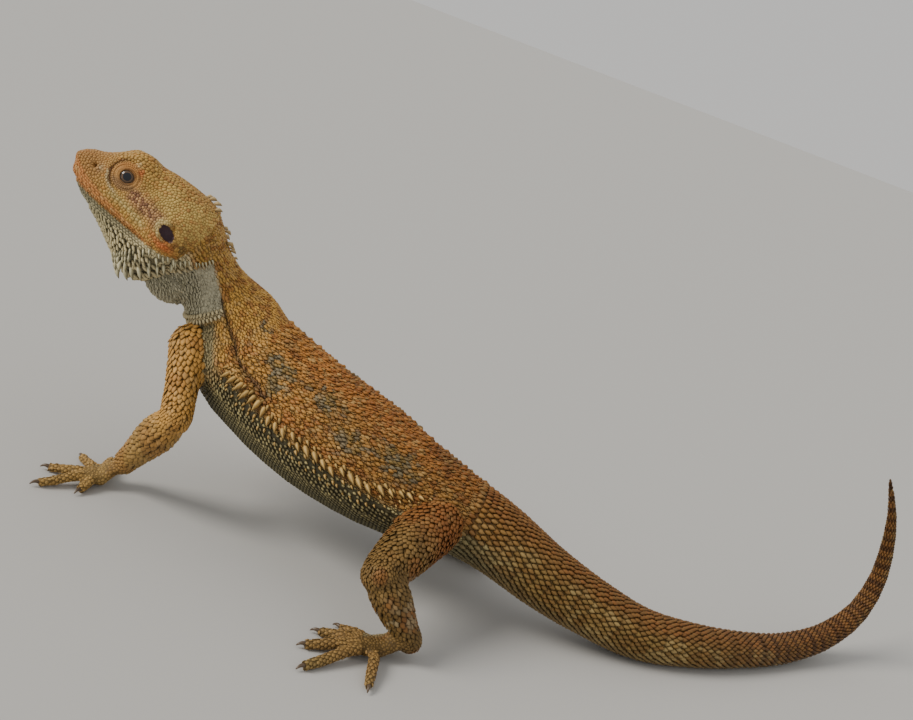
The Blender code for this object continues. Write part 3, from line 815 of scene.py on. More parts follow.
def shape_trunk(points, normals, axis, s, angle):
    """The folds behind the shoulder, under the collar and on the pouch."""
    turn = abs(angle)
    gap = line_gap(s, turn, SHOULDER_FOLD)
    out = -1.1 * bell(gap, 0.0, 1.1) + 0.5 * bell(gap, 2.6, 1.3)
    under = ease(turn, 78, 92)
    out += under * (0.9 * bell(s, COLLAR, 1.8) - 1.6 * bell(s, COLLAR + 3.2, 1.3))
    gap = line_gap(s, turn, POUCH_FOLD)
    out += 0.35 * bell(gap, 2.2, 1.2) - 0.9 * bell(gap, 0.0, 0.9)
    out += 0.12 * np.cos(s * 2 * math.pi / 2.3) * under * (1 - ease(s, 24, 28))
    return points + normals * (out * (axis == NUMBER["spine"]))[:, None]


def ground_shade(points, axis, s, angle):
    """How much darker than the scales the skin between them is: partly the skin's own darker
    colour, partly painted shade in the gaps between the scales, deepest under the beard and below
    the fringe.
    """
    local, turn = in_head(points), abs(angle)
    shade = np.full(len(points), 0.5)
    head, spine = axis == NUMBER["head"], axis == NUMBER["spine"]
    shade[head] = 0.72
    shade[head & (cheek_edge(local) > 1.5)] = 0.3
    shade = np.where(spine, shade + 0.4 * throat_share(s, turn), shade)
    trunk = spine & (s < S["pelvis"]) & (s > 50)
    shade = np.where(trunk, shade - 0.3 * ease(turn, 83, 88), shade)
    for side in (-1, 1):
        shade = np.where(head & (ear_reach(local, side) < 1.3), 0.95, shade)
    return shade


def subdivide_near(thing, wanted):
    """Cuts the faces whose corners are all wanted into four."""
    choose(thing)
    bpy.ops.object.mode_set(mode="EDIT")
    bpy.ops.mesh.select_all(action="DESELECT")
    bpy.ops.object.mode_set(mode="OBJECT")
    mesh = thing.data
    loops = np.empty(len(mesh.loops), np.int32)
    mesh.loops.foreach_get("vertex_index", loops)
    starts = np.empty(len(mesh.polygons), np.int32)
    mesh.polygons.foreach_get("loop_start", starts)
    mesh.polygons.foreach_set("select", np.logical_and.reduceat(wanted[loops], starts))
    mesh.update()
    bpy.ops.object.mode_set(mode="EDIT")
    bpy.ops.mesh.select_mode(type="FACE")
    bpy.ops.mesh.subdivide(number_cuts=1)
    bpy.ops.object.mode_set(mode="OBJECT")


def eye_gap(points):
    """Distance to the nearer eye's middle."""
    return gap_to(in_head(points), EYE_PLACE)


def colour_layer(mesh, colours):
    """Keeps each corner's colour, painted shade and highlight included, for the finishes to read.
    """
    layer = mesh.color_attributes.new("markings_and_shade", "FLOAT_COLOR", "POINT")
    layer.data.foreach_set("color", np.c_[colours, np.ones(len(colours))].astype(
        np.float32).ravel())


def joined(pieces):
    """The pieces as one object, without materials."""
    deselect()
    for piece in pieces:
        piece.select_set(True)
    bpy.context.view_layer.objects.active = pieces[0]
    bpy.ops.object.join()
    whole = bpy.context.object
    whole.data.materials.clear()
    return whole


def welded_flesh():
    """All the solids and the lids' balls, grown together into one closed shell."""
    pieces = [merged_copy(name, PUFF) for name in flesh_names()]
    for side in (-1, 1):
        bpy.ops.mesh.primitive_uv_sphere_add(
            segments=32, ring_count=16, radius=LID_BALL * MM,
            location=at_head(*EYE_PLACE, side=side) * MM)
        bpy.ops.object.transform_apply(location=True, rotation=True, scale=True)
        pieces.append(bpy.context.object)
    skin = joined(pieces)
    skin.name = skin.data.name = "skin"
    apply(skin, "REMESH", mode="VOXEL", voxel_size=VOXEL * MM)
    return skin


def settle(skin):
    """Evens the shell, draws the digits out to their claws and sinks it by the coat's depth."""
    points, edges = points_of(skin), edges_of(skin)
    axis = name_parts(points)
    s, _, _ = along_lines(points, axis)
    digits = np.isin(axis, DIGITS)
    small = digits | ((axis == NUMBER["spine"]) & (s > S["tail_bend"]))
    weight = np.where(digits, 0.1, np.where(small, 0.15, 1.0))
    weight = np.where(axis == NUMBER["head"], 0.55, weight)
    points = relax(points, edges, 4, np.where(digits, 0.2, np.where(small, 0.4, 1.0)))
    points = relax(points, edges, 24, weight)
    for number in DIGITS:
        here = axis == number
        if here.any():
            line = AXES[AXIS_NAMES[number]]
            reach, _, _, run = line.locate(points[here])
            end = ease(reach, line.length - 3.0, line.length - 0.5)
            points[here] += run * (DIGIT_REACH * end)[:, None]
    put_points(skin, points)
    depth = coat_depth(axis, s) + PUFF
    depth = np.where(eye_gap(points) < LID_BALL + 1.0, LID_DEPTH, depth)
    points = points - normals_of(skin) * depth[:, None]
    points[:, 2] = np.maximum(points[:, 2], LEAST_HEIGHT)
    put_points(skin, points)


def refine_head(skin):
    """Cuts the head's faces finer, and those at eyes, ears, nostrils and lips once more."""
    for fine in (False, True):
        points = points_of(skin)
        local = in_head(points)
        near = local[:, 0] < 52
        if fine:
            lips = (abs(over_lip(local)) < 0.9) & (local[:, 0] < MOUTH_END + 1)
            near = near & ((eye_gap(points) < 6.8) | (ear_gap(local) < 1.5)
                           | (gap_to(local, NOSTRIL) < 2.2) | lips)
        near = near & (local[:, 2] > -40)
        subdivide_near(skin, near)
        points = points_of(skin)
        head = (in_head(points)[:, 0] < 53).astype(float)
        put_points(skin, relax(points, edges_of(skin), 3, head))


def shape_features(skin):
    """The folds of the trunk and the features of the head, in the fine shell."""
    points = points_of(skin)
    axis = name_parts(points)
    s, angle, _ = along_lines(points, axis)
    put_points(skin, shape_trunk(points, normals_of(skin), axis, s, angle))
    put_points(skin, shape_head(points_of(skin), normals_of(skin), axis))


class DRAGON_OT_skin(Operator):
    """One skin over the whole body, with the head's folds, lids, mouth, nostrils and ears"""

    bl_idname = "dragon.skin"
    bl_label = "Skin"

    def execute(self, context):
        skin = welded_flesh()
        settle(skin)
        refine_head(skin)
        shape_features(skin)
        surface = SKIN["surface"] = Surface(skin)
        where = (surface.points, surface.point_axis, surface.point_s, surface.point_angle)
        # the skin's colour times ground_shade: the dark between the scales is partly painted shade
        colour_layer(skin.data, markings_and_shade(*where) * ground_shade(*where)[:, None])
        choose(skin)
        bpy.ops.object.shade_smooth()
        skin.data.materials.append(skin_finish("dragon_skin", 0.62, 0.35, 0.0006))
        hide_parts(*flesh_names())
        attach(skin, "root")
        return {"FINISHED"}


# ---------------------------------------------------------------- scales
BAKE_PATCH = 0.003             # how much of the OFBake map one scale takes
BAKE_SCALE = 0.0021            # map units to a millimetre of skin
BAKE_MARGIN = 0.002
# Strips of the OFBake map: left edge, low edge and height.
SPINE_STRIP = (0.02, 0.02, 0.30)
HEAD_STRIP = (0.02, 0.35, 0.26)
LIMB_STRIP = (0.20, 0.35, 0.14)
DIGIT_STRIP = (0.20, 0.50, 0.03)
LIMB_STRIDE = 0.19             # from one limb's strip to the next
DIGIT_STRIDE = 0.045           # and from one digit's to the next
SUNK = 0.12                    # how far a scale's foot lies in the skin
SCALE_FLOOR = 0.02             # no scale reaches lower than this over the floor
CELL = 3.0                     # size of the cells in which neighbours are looked up
PIECE_SCALES = 6400            # scales in one mesh
OUTLINE_SIDES = 8


class Shape:
    """A scale's own form, modelled once: corners, triangles, and the foot and point corners that
    take painted shade and a painted highlight.
    """

    def __init__(self, sides, ring, point, squeeze=1.0, taper=0.0, wide_to=0.0, power=1.5):
        """ring and point are (size, height, shift) and (height, shift) of the top; taper
        is how much narrower the end is, from wide_to on."""
        deselect()
        bpy.ops.mesh.primitive_cone_add(vertices=sides, radius1=1.0, radius2=ring[0], depth=1.0,
                                        location=(0.0, 0.0, 0.5))
        cone = bpy.context.object
        bpy.ops.object.transform_apply(location=True, rotation=True, scale=True)
        for face in cone.data.polygons:
            face.select = face.normal.z > 0.9
        bpy.ops.object.mode_set(mode="EDIT")
        bpy.ops.mesh.select_mode(type="FACE")
        bpy.ops.mesh.poke()
        bpy.ops.mesh.select_all(action="SELECT")
        bpy.ops.mesh.quads_convert_to_tris(ngon_method="BEAUTY")
        bpy.ops.mesh.normals_make_consistent(inside=False)
        bpy.ops.object.mode_set(mode="OBJECT")
        work = points_of(cone) * MM
        out = np.hypot(work[:, 0], work[:, 1])
        top, tip = (work[:, 2] > 0.5) & (out > 0.01), (work[:, 2] > 0.5) & (out < 0.01)
        work[top, 2], work[tip, 2] = ring[1], point[0]
        work[top, 1] *= squeeze
        part = np.clip((work[:, 0] - wide_to) / (1 - wide_to), 0.0, 1.0)
        narrow = 1.0 - taper * part ** power
        work[:, 1] *= narrow
        work[top, 0] += ring[2]
        work[tip, 0] += point[1]
        self.corners = work
        self.faces = np.array([p.vertices[:] for p in cone.data.polygons], np.int32)
        # rim marks the foot corners that take painted shade, tip the point that takes a painted
        # highlight
        self.rim = (work[:, 2] < 0.01).astype(float)
        self.tip = tip.astype(float)
        self.sector = np.round(np.degrees(np.arctan2(work[:, 1] / narrow, work[:, 0])) / 45.0)
        self.sector = np.where(tip, 0, self.sector).astype(int) % OUTLINE_SIDES
        bpy.data.objects.remove(cone)


def make_shapes():
    return {
        "plate": Shape(8, (0.8, 0.75, 0.0), (1.0, 0.1)),
        "keel": Shape(8, (0.72, 0.55, 0.1), (1.0, 0.42), squeeze=0.62, taper=0.62),
        "flat": Shape(8, (0.8, 0.7, 0.05), (0.95, 0.3), squeeze=0.85, taper=0.5),
        "spike": Shape(8, (0.6, 0.62, 0.0), (1.0, 0.1), squeeze=0.6, taper=0.95,
                       wide_to=-0.6, power=1.0),
    }


class Coat:
    """The scales of one group, as rows that are turned into meshes at the end."""

    def __init__(self, skin):
        self.skin = skin
        self.rows = []
        self.cells = {}

    def near(self, place, reach):
        """True if a scale already stands closer than this."""
        low = [int(math.floor((v - reach) / CELL)) for v in place]
        high = [int(math.floor((v + reach) / CELL)) for v in place]
        for cell in itertools.product(*(range(a, b + 1) for a, b in zip(low, high))):
            for other in self.cells.get(cell, ()):
                if (sum((a - b) ** 2 for a, b in zip(place, other[:3]))
                        < (reach * 0.5 + other[3] * 0.5) ** 2):
                    return True
        return False

    def claim(self, place, reach):
        """Keeps a scale's room, unless another stands in it."""
        key = tuple(float(v) for v in place)
        if self.near(key, reach):
            return False
        cell = tuple(int(math.floor(v / CELL)) for v in key)
        self.cells.setdefault(cell, []).append((*key, reach))
        return True

    def take(self, other):
        """Takes over scales that were laid far apart, with only the room that each fills."""
        self.rows += [row for row in other.rows if self.claim(row[1], 0.62 * min(row[4][:2]))]

    def add(self, kind, hit, lie, size, lift=8.0, reach=None, shade=1.0, rim=0.55, tint=None):
        """One scale: size is length, width and height; lift is degrees off the skin; rim is how
        bright its foot is, darker partly by its own edge and partly by painted shade.
        """
        place, normal, face = hit
        lie = np.array(lie) - normal * float(np.dot(lie, normal))
        if np.linalg.norm(lie) < 1e-3:
            return False
        if not self.claim(place, 0.62 * min(size[:2]) if reach is None else reach):
            return False
        self.rows.append((kind, place, normal, unit(lie), size, lift, self.skin.axis[face],
                          shade, rim, tint))
        return True


def fitted_outlines(places, normals, lies, reach):
    """How far each scale can spread to each of eight sides before it meets its neighbours."""
    across = np.cross(normals, lies)
    turns = np.arange(OUTLINE_SIDES) * 2 * math.pi / OUTLINE_SIDES
    outlines = np.empty((len(places), OUTLINE_SIDES))
    cells = {}
    keys = np.floor(places / CELL).astype(int)
    for number, key in enumerate(map(tuple, keys)):
        cells.setdefault(key, []).append(number)
    steps = list(itertools.product((-1, 0, 1), repeat=3))
    for number, key in enumerate(map(tuple, keys)):
        others = [other for step in steps
                  for other in cells.get((key[0] + step[0], key[1] + step[1], key[2] + step[2]), ())
                  if other != number]
        away = places[others] - places[number]
        flat = np.stack((away @ lies[number], away @ across[number]), 1)
        gap = np.hypot(*flat.T)
        keep = (gap > 0.05) & (gap < 2.2 * reach[number])
        flat, gap = flat[keep], gap[keep]
        facing = (flat[:, :1] * np.cos(turns) + flat[:, 1:] * np.sin(turns)) / gap[:, None]
        limit = np.where(facing > 0.15, gap[:, None] / 2 / np.maximum(facing, 0.15), 9.0)
        outlines[number] = limit.min(0) if len(gap) else reach[number]
    return np.clip(outlines, 0.25 * reach[:, None], 0.95 * reach[:, None])


def bake_places(axis, s, angle):
    """Each root's place on an unwrap of the skin: a strip for every line of the body."""
    u, v = np.zeros(len(axis)), np.zeros(len(axis))
    for name, number in NUMBER.items():
        here = axis == number
        if name == "spine":
            left, low, tall = SPINE_STRIP
        elif name == "head":
            left, low, tall = HEAD_STRIP
        elif name in LIMBS:
            left, low, tall = LIMB_STRIP
            left += LIMB_STRIDE * list(LIMBS).index(name)
        else:
            limb, digit = name.rsplit("_", 1)
            left, low, tall = DIGIT_STRIP
            left += LIMB_STRIDE * list(LIMBS).index(limb)
            low += DIGIT_STRIDE * int(digit)
        u[here] = left + s[here] * BAKE_SCALE
        v[here] = low + (angle[here] / 360.0 + 0.5) * tall
    return np.clip(np.stack((u, v), 1), BAKE_MARGIN, 1 - BAKE_MARGIN)


def triangle_mesh(title, points, faces):
    """A new object from arrays of corners and triangles."""
    mesh = bpy.data.meshes.new(title)
    mesh.vertices.add(len(points))
    mesh.vertices.foreach_set("co", (points * MM).astype(np.float32).ravel())
    mesh.loops.add(faces.size)
    mesh.loops.foreach_set("vertex_index", faces.ravel().astype(np.int32))
    mesh.polygons.add(len(faces))
    mesh.polygons.foreach_set("loop_start", np.arange(len(faces), dtype=np.int32) * 3)
    mesh.update(calc_edges=True)
    mesh.validate()
    thing = bpy.data.objects.new(title, mesh)
    bpy.context.scene.collection.objects.link(thing)
    return thing


def build_scales(title, coat, finish, fitted=(), smooth=False):
    """Turns the gathered rows into joined meshes, each small enough to keep whole."""
    for start in range(0, len(coat.rows), PIECE_SCALES):
        rows = coat.rows[start:start + PIECE_SCALES]
        name = title if len(coat.rows) <= PIECE_SCALES else f"{title}_{start // PIECE_SCALES + 1}"
        build_piece(name, rows, finish, fitted, smooth)


def lifted_corners(shape, outlines, sizes, lifts):
    """Each scale's corners along, across and off the skin, spread to its outline and
    lifted about its heel."""
    corners, spread = shape.corners, outlines[:, shape.sector]
    long, wide, high = (sizes[:, None, i] for i in range(3))
    x = corners[None, :, 0] * spread * long / 2
    y = corners[None, :, 1] * spread * wide / 2
    z = corners[None, :, 2] * high - SUNK
    heel, lift = x + long / 2, lifts[:, None]
    return (heel * np.cos(lift) - long / 2 - z * np.sin(lift), y,
            heel * np.sin(lift) + z * np.cos(lift))


def build_piece(title, rows, finish, fitted, smooth):
    """One joined mesh of scales, with the colour and the bake place of each."""
    kinds = np.array([row[0] for row in rows])
    places, normals, lies = (np.array([row[i] for row in rows]) for i in (1, 2, 3))
    sizes = np.array([row[4] for row in rows])
    lifts = np.radians([row[5] for row in rows])
    axis = np.array([row[6] for row in rows])
    shade, rim = (np.array([row[i] for row in rows], float) for i in (7, 8))
    s, angle, _ = along_lines(places, axis)
    colours = markings_and_shade(places, axis, s, angle)
    for number, row in enumerate(rows):
        if row[9] is not None:
            colours[number] = row[9]
    homes = bake_places(axis, s, angle)
    outlines = np.ones((len(rows), OUTLINE_SIDES))
    fit = np.isin(kinds, fitted)
    if fit.any():
        outlines[fit] = fitted_outlines(places, normals, lies, sizes[:, 0])[fit] / (
            sizes[fit, :1] / 2)
    across = np.cross(normals, lies)
    points, faces, tones, maps = [], [], [], []
    base = 0
    for kind, shape in SHAPES.items():
        here = np.flatnonzero(kinds == kind)
        if not len(here):
            continue
        x, y, z = lifted_corners(shape, outlines[here], sizes[here], lifts[here])
        made = (places[here, None] + x[..., None] * lies[here, None]
                + y[..., None] * across[here, None] + z[..., None] * normals[here, None])
        points.append(made.reshape(-1, 3))
        count = len(shape.corners)
        faces.append((shape.faces[None] + (base + np.arange(len(here)) * count)[:, None, None])
                     .reshape(-1, 3))
        base += len(here) * count
        # The foot is darker, partly the scale's own dark edge and partly painted shade where it
        # meets the skin; the point is a little lighter, a painted highlight.
        tone = 1.0 - shape.rim[None] * (1.0 - rim[here, None]) + 0.05 * shape.tip[None]
        tones.append((colours[here, None] * (tone * shade[here, None])[..., None]).reshape(-1, 3))
        patch = shape.corners[None, :, :2] * BAKE_PATCH / 2
        maps.append((homes[here, None] + patch).reshape(-1, 2))
    points, faces = np.concatenate(points), np.concatenate(faces)
    points[:, 2] = np.maximum(points[:, 2], SCALE_FLOOR)
    thing = triangle_mesh(title, points, faces)
    colour_layer(thing.data, np.concatenate(tones))
    layer = thing.data.uv_layers.new(name="OFBake")
    layer.data.foreach_set("uv", np.concatenate(maps)[faces.ravel()].astype(np.float32).ravel())
    if smooth:
        choose(thing)
        bpy.ops.object.shade_smooth()
    thing.data.materials.append(finish)
    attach(thing, "root")


def ring_hits(skin, axis_name, s, across, shift, stray, generator):
    """Places spread round one ring of the body, with their angles."""
    centre, run, up, left = AXES[axis_name].at(s)
    probe = []
    for turn in range(0, 360, 30):
        hit = skin.cast(centre, round_line(up, left, turn))
        if hit and skin.axis[hit[2]] == NUMBER[axis_name]:
            probe.append(np.linalg.norm(hit[0] - centre))
    if not probe:
        return
    girth = 2 * math.pi * float(np.mean(probe))
    count = max(6, round(girth / across))
    strays = generator.uniform(-0.5, 0.5, (count, 2)) * stray
    for number in range(count):
        turn = (number + shift + strays[number, 0]) / count * 360.0 - 180.0
        start = centre + run * strays[number, 1] * across
        hit = skin.cast(start, round_line(up, left, turn))
        if hit and skin.axis[hit[2]] == NUMBER[axis_name]:
            yield hit, turn


def lay_rings(coat, axis_name, start, stop, pitch, across, describe, wanted=None, stray=0.12):
    """Rows of scales round a part; pitch and across may change along it."""
    s, row = start, 0
    generator = np.random.default_rng(NUMBER[axis_name] + 7)
    while s < stop:
        step, width = pitch(s), across(s)
        _, along, _, _ = AXES[axis_name].at(s)
        for hit, turn in ring_hits(coat.skin, axis_name, s, width, 0.5 * (row % 2), stray,
                                   generator):
            if wanted and not wanted(s, turn):
                continue
            scale = describe(s, turn, step, width, generator)
            if scale:
                coat.add(scale.pop("kind"), hit, along, **scale)
        s += step
        row += 1


def scatter(coat, wanted, spacing, describe, lie, seed=1):
    """Scales spread evenly, without rows, over the skin's faces that are wanted."""
    skin = coat.skin
    generator = np.random.default_rng(seed)
    faces = skin.corner_faces[wanted[skin.corner_faces].all(axis=1)]
    corners = skin.points[faces[:, :3]]
    area = np.linalg.norm(np.cross(corners[:, 1] - corners[:, 0], corners[:, 2] - corners[:, 0]),
                          axis=1)
    count = int(area.sum() / spacing ** 2 * 14)
    pick = generator.choice(len(faces), count, p=area / area.sum())
    first, second = generator.random((2, count, 1))
    place = (corners[pick, 0] + (corners[pick, 1] - corners[pick, 0]) * first
             + (corners[pick, 2] - corners[pick, 1]) * first * second)
    for point in place:
        size = describe(point, generator)
        if size is None:
            continue
        key = tuple(float(v) for v in point)
        if coat.near(key, size["reach"]):
            continue
        hit = skin.nearest(point)
        coat.add(size.pop("kind"), hit, lie(point), **size)


# ---------------------------------------------------------------- finishes
SPECULAR = 0.25


def new_finish(title):
    """A material with its shader, and the calls that make and link its nodes."""
    finish = bpy.data.materials.new(title)
    finish.use_nodes = True
    tree = finish.node_tree
    return finish, tree.nodes["Principled BSDF"], tree.nodes.new, tree.links.new


def skin_finish(title, roughness, bump, grain):
    """Reads the colours with their painted shade and highlight, and adds fine horn grain and
    unevenness.
    """
    finish, shader, make, link = new_finish(title)
    layer = make("ShaderNodeVertexColor")
    layer.layer_name = "markings_and_shade"
    place = make("ShaderNodeTexCoord")
    grainy = make("ShaderNodeTexNoise")
    grainy.inputs["Scale"].default_value = 1 / grain
    grainy.inputs["Detail"].default_value = 3.0
    shade = make("ShaderNodeMapRange")
    shade.inputs["To Min"].default_value = 0.72
    shade.inputs["To Max"].default_value = 1.28
    tint = make("ShaderNodeVectorMath")
    tint.operation = "SCALE"
    rough = make("ShaderNodeMapRange")
    rough.inputs["To Min"].default_value = roughness - 0.12
    rough.inputs["To Max"].default_value = roughness + 0.12
    relief = make("ShaderNodeBump")
    relief.inputs["Strength"].default_value = bump
    relief.inputs["Distance"].default_value = 0.0003
    link(place.outputs["Object"], grainy.inputs["Vector"])
    link(grainy.outputs["Fac"], shade.inputs["Value"])
    link(layer.outputs["Color"], tint.inputs[0])
    link(shade.outputs["Result"], tint.inputs["Scale"])
    link(tint.outputs["Vector"], shader.inputs["Base Color"])
    link(grainy.outputs["Fac"], rough.inputs["Value"])
    link(rough.outputs["Result"], shader.inputs["Roughness"])
    link(grainy.outputs["Fac"], relief.inputs["Height"])
    link(relief.outputs["Normal"], shader.inputs["Normal"])
    shader.inputs["Specular IOR Level"].default_value = SPECULAR
    return finish


# ---------------------------------------------------------------- which scale grows where
def keel(length, width, height, lift, shade=1.0, rim=0.45, **more):
    return dict(kind="keel", size=(length, width, height), lift=lift, shade=shade, rim=rim,
                **more)


def back_scale(s, turn, step, width, generator):
    """Small keeled scales of unlike size."""
    bold, size = generator.random(), generator.uniform(0.85, 1.2)
    shade = generator.uniform(0.84, 1.18)
    return keel(1.8 * step * size, 1.1 * width * size, 0.36 * size, 7.0 + 8.0 * bold, shade,
                0.78)


def bold_scale(s, generator):
    """Larger pointed scales strewn over the back and flanks."""
    size = generator.uniform(0.85, 1.2)
    grown = ease(s, 20, 60)
    return keel((1.8 + 0.7 * grown) * size, (1.15 + 0.4 * grown) * size,
                (0.6 + 0.3 * grown) * size, 15.0, generator.uniform(0.98, 1.2), 0.75)


def filler_scale(point, generator):
    """Small grains for the gaps that the larger scales leave."""
    return keel(1.3, 0.85, 0.38, 12.0, generator.uniform(0.78, 1.08), 0.6, reach=0.7)


def belly_scale(s, turn, step, width, generator):
    shade = generator.uniform(0.88, 1.1)
    return dict(kind="flat", size=(1.3 * step, 0.88 * width, 0.3), lift=8.0, shade=shade,
                rim=0.42)


def band_scale(s, turn, step, width, generator):
    """Pale grains standing apart in the dark band under the fringe."""
    shade = generator.uniform(0.7, 1.2)
    return keel(1.15 * step, 0.8 * width, 0.7, 16.0, shade, 0.3)


def tail_scale(s, turn, step, width, generator):
    """Strong keels in even rings, finer and flatter towards the tip."""
    shade = generator.uniform(0.88, 1.12)
    height = 0.28 * width + 0.1
    return keel(1.65 * step, 1.04 * width, height, 11.0, shade, 0.55)


def limb_scale(limb, point, generator):
    """How broad and how bright one of a limb's overlapping scales is."""
    s, angle, _, _ = AXES[limb].locate(point[None])
    joints = AXES[limb].stations
    bend = max(bell(s[0], joints[1], 6.0), bell(s[0], joints[2], 7.0))
    inner = ease(abs(angle[0]), 90, 130)
    size = (1 - 0.4 * bend) * (1 - 0.25 * inner) * generator.uniform(0.92, 1.08)
    return size, generator.uniform(0.84, 1.14)


def digit_scale(s, turn, step, width, generator):
    shade = generator.uniform(0.88, 1.1)
    return dict(kind="flat", size=(1.3 * step, 1.05 * width, 0.3), lift=7.0, shade=shade,
                rim=0.5)


def neck_scale(s, turn, step, width, generator):
    """Fine grains on the sides and pouch, small keels along the top."""
    shade = generator.uniform(0.9, 1.1)
    if s < 13 - 6 * ease(abs(turn), 20, 60) and abs(turn) < 84:
        return dict(kind="plate", size=(1.3 * step, 1.3 * width, 0.32), lift=6.0, shade=shade,
                    rim=0.68)
    if throat_share(s, abs(turn)) < 0.5:
        size = generator.uniform(0.85, 1.15)
        return keel(1.6 * step * size, 1.05 * width * size, 0.42, 10.0, shade, 0.6)
    if abs(turn) > 105:
        return keel(1.55 * step, 0.8 * width, 0.55, 16.0, shade * 1.15, 0.5)
    return dict(kind="flat", size=(1.25 * step, 0.95 * width, 0.2), lift=5.0, shade=shade,
                rim=0.8)


def beard_scale(s, turn, step, width, generator):
    """Pointed scales, small at the chin and growing into spines towards the rear."""
    grown = ease(s, 6.0, 38.0)
    shade = generator.uniform(0.88, 1.12)
    size = (1.5 * step, 0.74 * width, 0.5 + 0.6 * grown)
    return dict(kind="keel", size=size, lift=10.0 + 18.0 * grown, shade=shade, rim=0.15)


def steady(value):
    return lambda s: value


class ScaleOperator:
    """What the operators of the coat share: the skin, and the material by name."""

    bl_options = {"REGISTER", "UNDO"}

    def coat(self):
        return Coat(SKIN["surface"])

    def finish(self, title, roughness=0.5, bump=0.25):
        found = bpy.data.materials.get(title)
        return found or skin_finish(title, roughness, bump, 0.0005)


# Angle round the trunk, spacing, length, width and lift of each row's spines.
FRINGE_ROWS = ((84.0, 3.6, 6.2, 3.3, 27.0), (79.5, 3.2, 3.4, 2.2, 22.0),
               (88.5, 3.2, 2.6, 1.9, 20.0), (93.0, 3.0, 2.0, 1.6, 16.0))
FRINGE_START, FRINGE_END = 50.0, 146.0


def lay_fringe(coat):
    """The row of pale spines along each flank, with lesser ones over and under it."""
    generator = np.random.default_rng(5)
    for row, (turn, step, length, wide, lift) in enumerate(FRINGE_ROWS):
        for side in (-1, 1):
            s = FRINGE_START + row * 1.7
            while s < FRINGE_END:
                centre, along, up, left = AXES["spine"].at(s)
                here = turn - 14.0 * ease(s, 116, 142) + generator.uniform(-2.0, 2.0)
                hit = coat.skin.cast(centre, round_line(up, left, here * side))
                part = ease(s, 44, 62) * (1 - 0.6 * ease(s, 120, 146))
                part = (0.45 + 0.55 * part) * generator.uniform(0.85, 1.12)
                back = ease(s, 58, 92)
                if hit and coat.skin.axis[hit[2]] == NUMBER["spine"]:
                    coat.add("spike", hit, along * 0.8 * back - up * (1 - 0.4 * back),
                             (length * part, wide * part, 0.45 * wide * part), lift=lift,
                             reach=wide * part * 0.55, rim=0.5,
                             tint=FRINGE_TINT * generator.uniform(0.85, 1.1)
                             * (0.8 if row == 1 else 1.0))
                s += step * generator.uniform(0.85, 1.15)


# Body line, place along it, angles from the top and height of the nape's spines.
NAPE_ROWS = (("head", 46.5, (16,), 3.4), ("head", 49.5, (5, 34), 3.2),
             ("spine", 5.0, (14,), 3.0), ("spine", 8.0, (28,), 3.6),
             ("spine", 11.5, (10,), 2.8), ("spine", 15.5, (22,), 2.2))


def lay_nape(coat):
    """Clusters of short pale spines behind the head and on the neck."""
    for line, s, turns, height in NAPE_ROWS:
        for turn, side in itertools.product(turns, (-1, 1)):
            centre, along, up, left = AXES[line].at(s)
            hit = coat.skin.cast(centre, round_line(up, left, turn * side))
            if hit:
                coat.add("spike", hit, along, (height, 0.6 * height, 0.45 * height), lift=42.0,
                         reach=1.6, rim=0.6, tint=SPINE_TINT * 0.85)


def lay_collar(coat):
    """Cream scales side by side on the edge of the neck's last fold."""
    for row, turn in itertools.product((0, 1), np.arange(80, 281, 5.5)):
        centre, along, up, left = AXES["spine"].at(COLLAR - 0.8 + 1.9 * row)
        hit = coat.skin.cast(centre, round_line(up, left, turn + 2.7 * row))
        if hit:
            coat.add("keel", hit, along, (2.3, 1.6, 0.9), lift=22.0, reach=1.3, rim=0.3,
                     tint=CREAM * 0.85)


def lie_along(line):
    """Scales that follow a body line lie the way it runs."""
    return lambda point: AXES[line].locate(point[None])[3][0]


def spine_part(skin, start, stop, edge):
    """The skin of neck and trunk between two places, up to an angle from the top."""
    return ((skin.point_axis == NUMBER["spine"]) & (skin.point_s > start)
            & (skin.point_s < stop) & (abs(skin.point_angle) < edge))


def lay_bold(coat, start, stop):
    """Larger pointed scales here and there, before the rows close round them."""
    skin = coat.skin
    spread = Coat(skin)
    trunk = spine_part(skin, start, stop, FRINGE_ROWS[0][0] - 5)

    def bold(point, generator):
        s = AXES["spine"].locate(point[None])[0][0]
        return dict(reach=generator.uniform(2.0, 4.2), **bold_scale(s, generator))

    scatter(spread, trunk, 2.6, bold, lie_along("spine"), 3)
    coat.take(spread)


def fill_gaps(coat, start, stop, edge):
    """Small grains wherever the spine's scales leave bare skin."""
    scatter(coat, spine_part(coat.skin, start, stop, edge), 1.6, filler_scale,
            lie_along("spine"), 4)


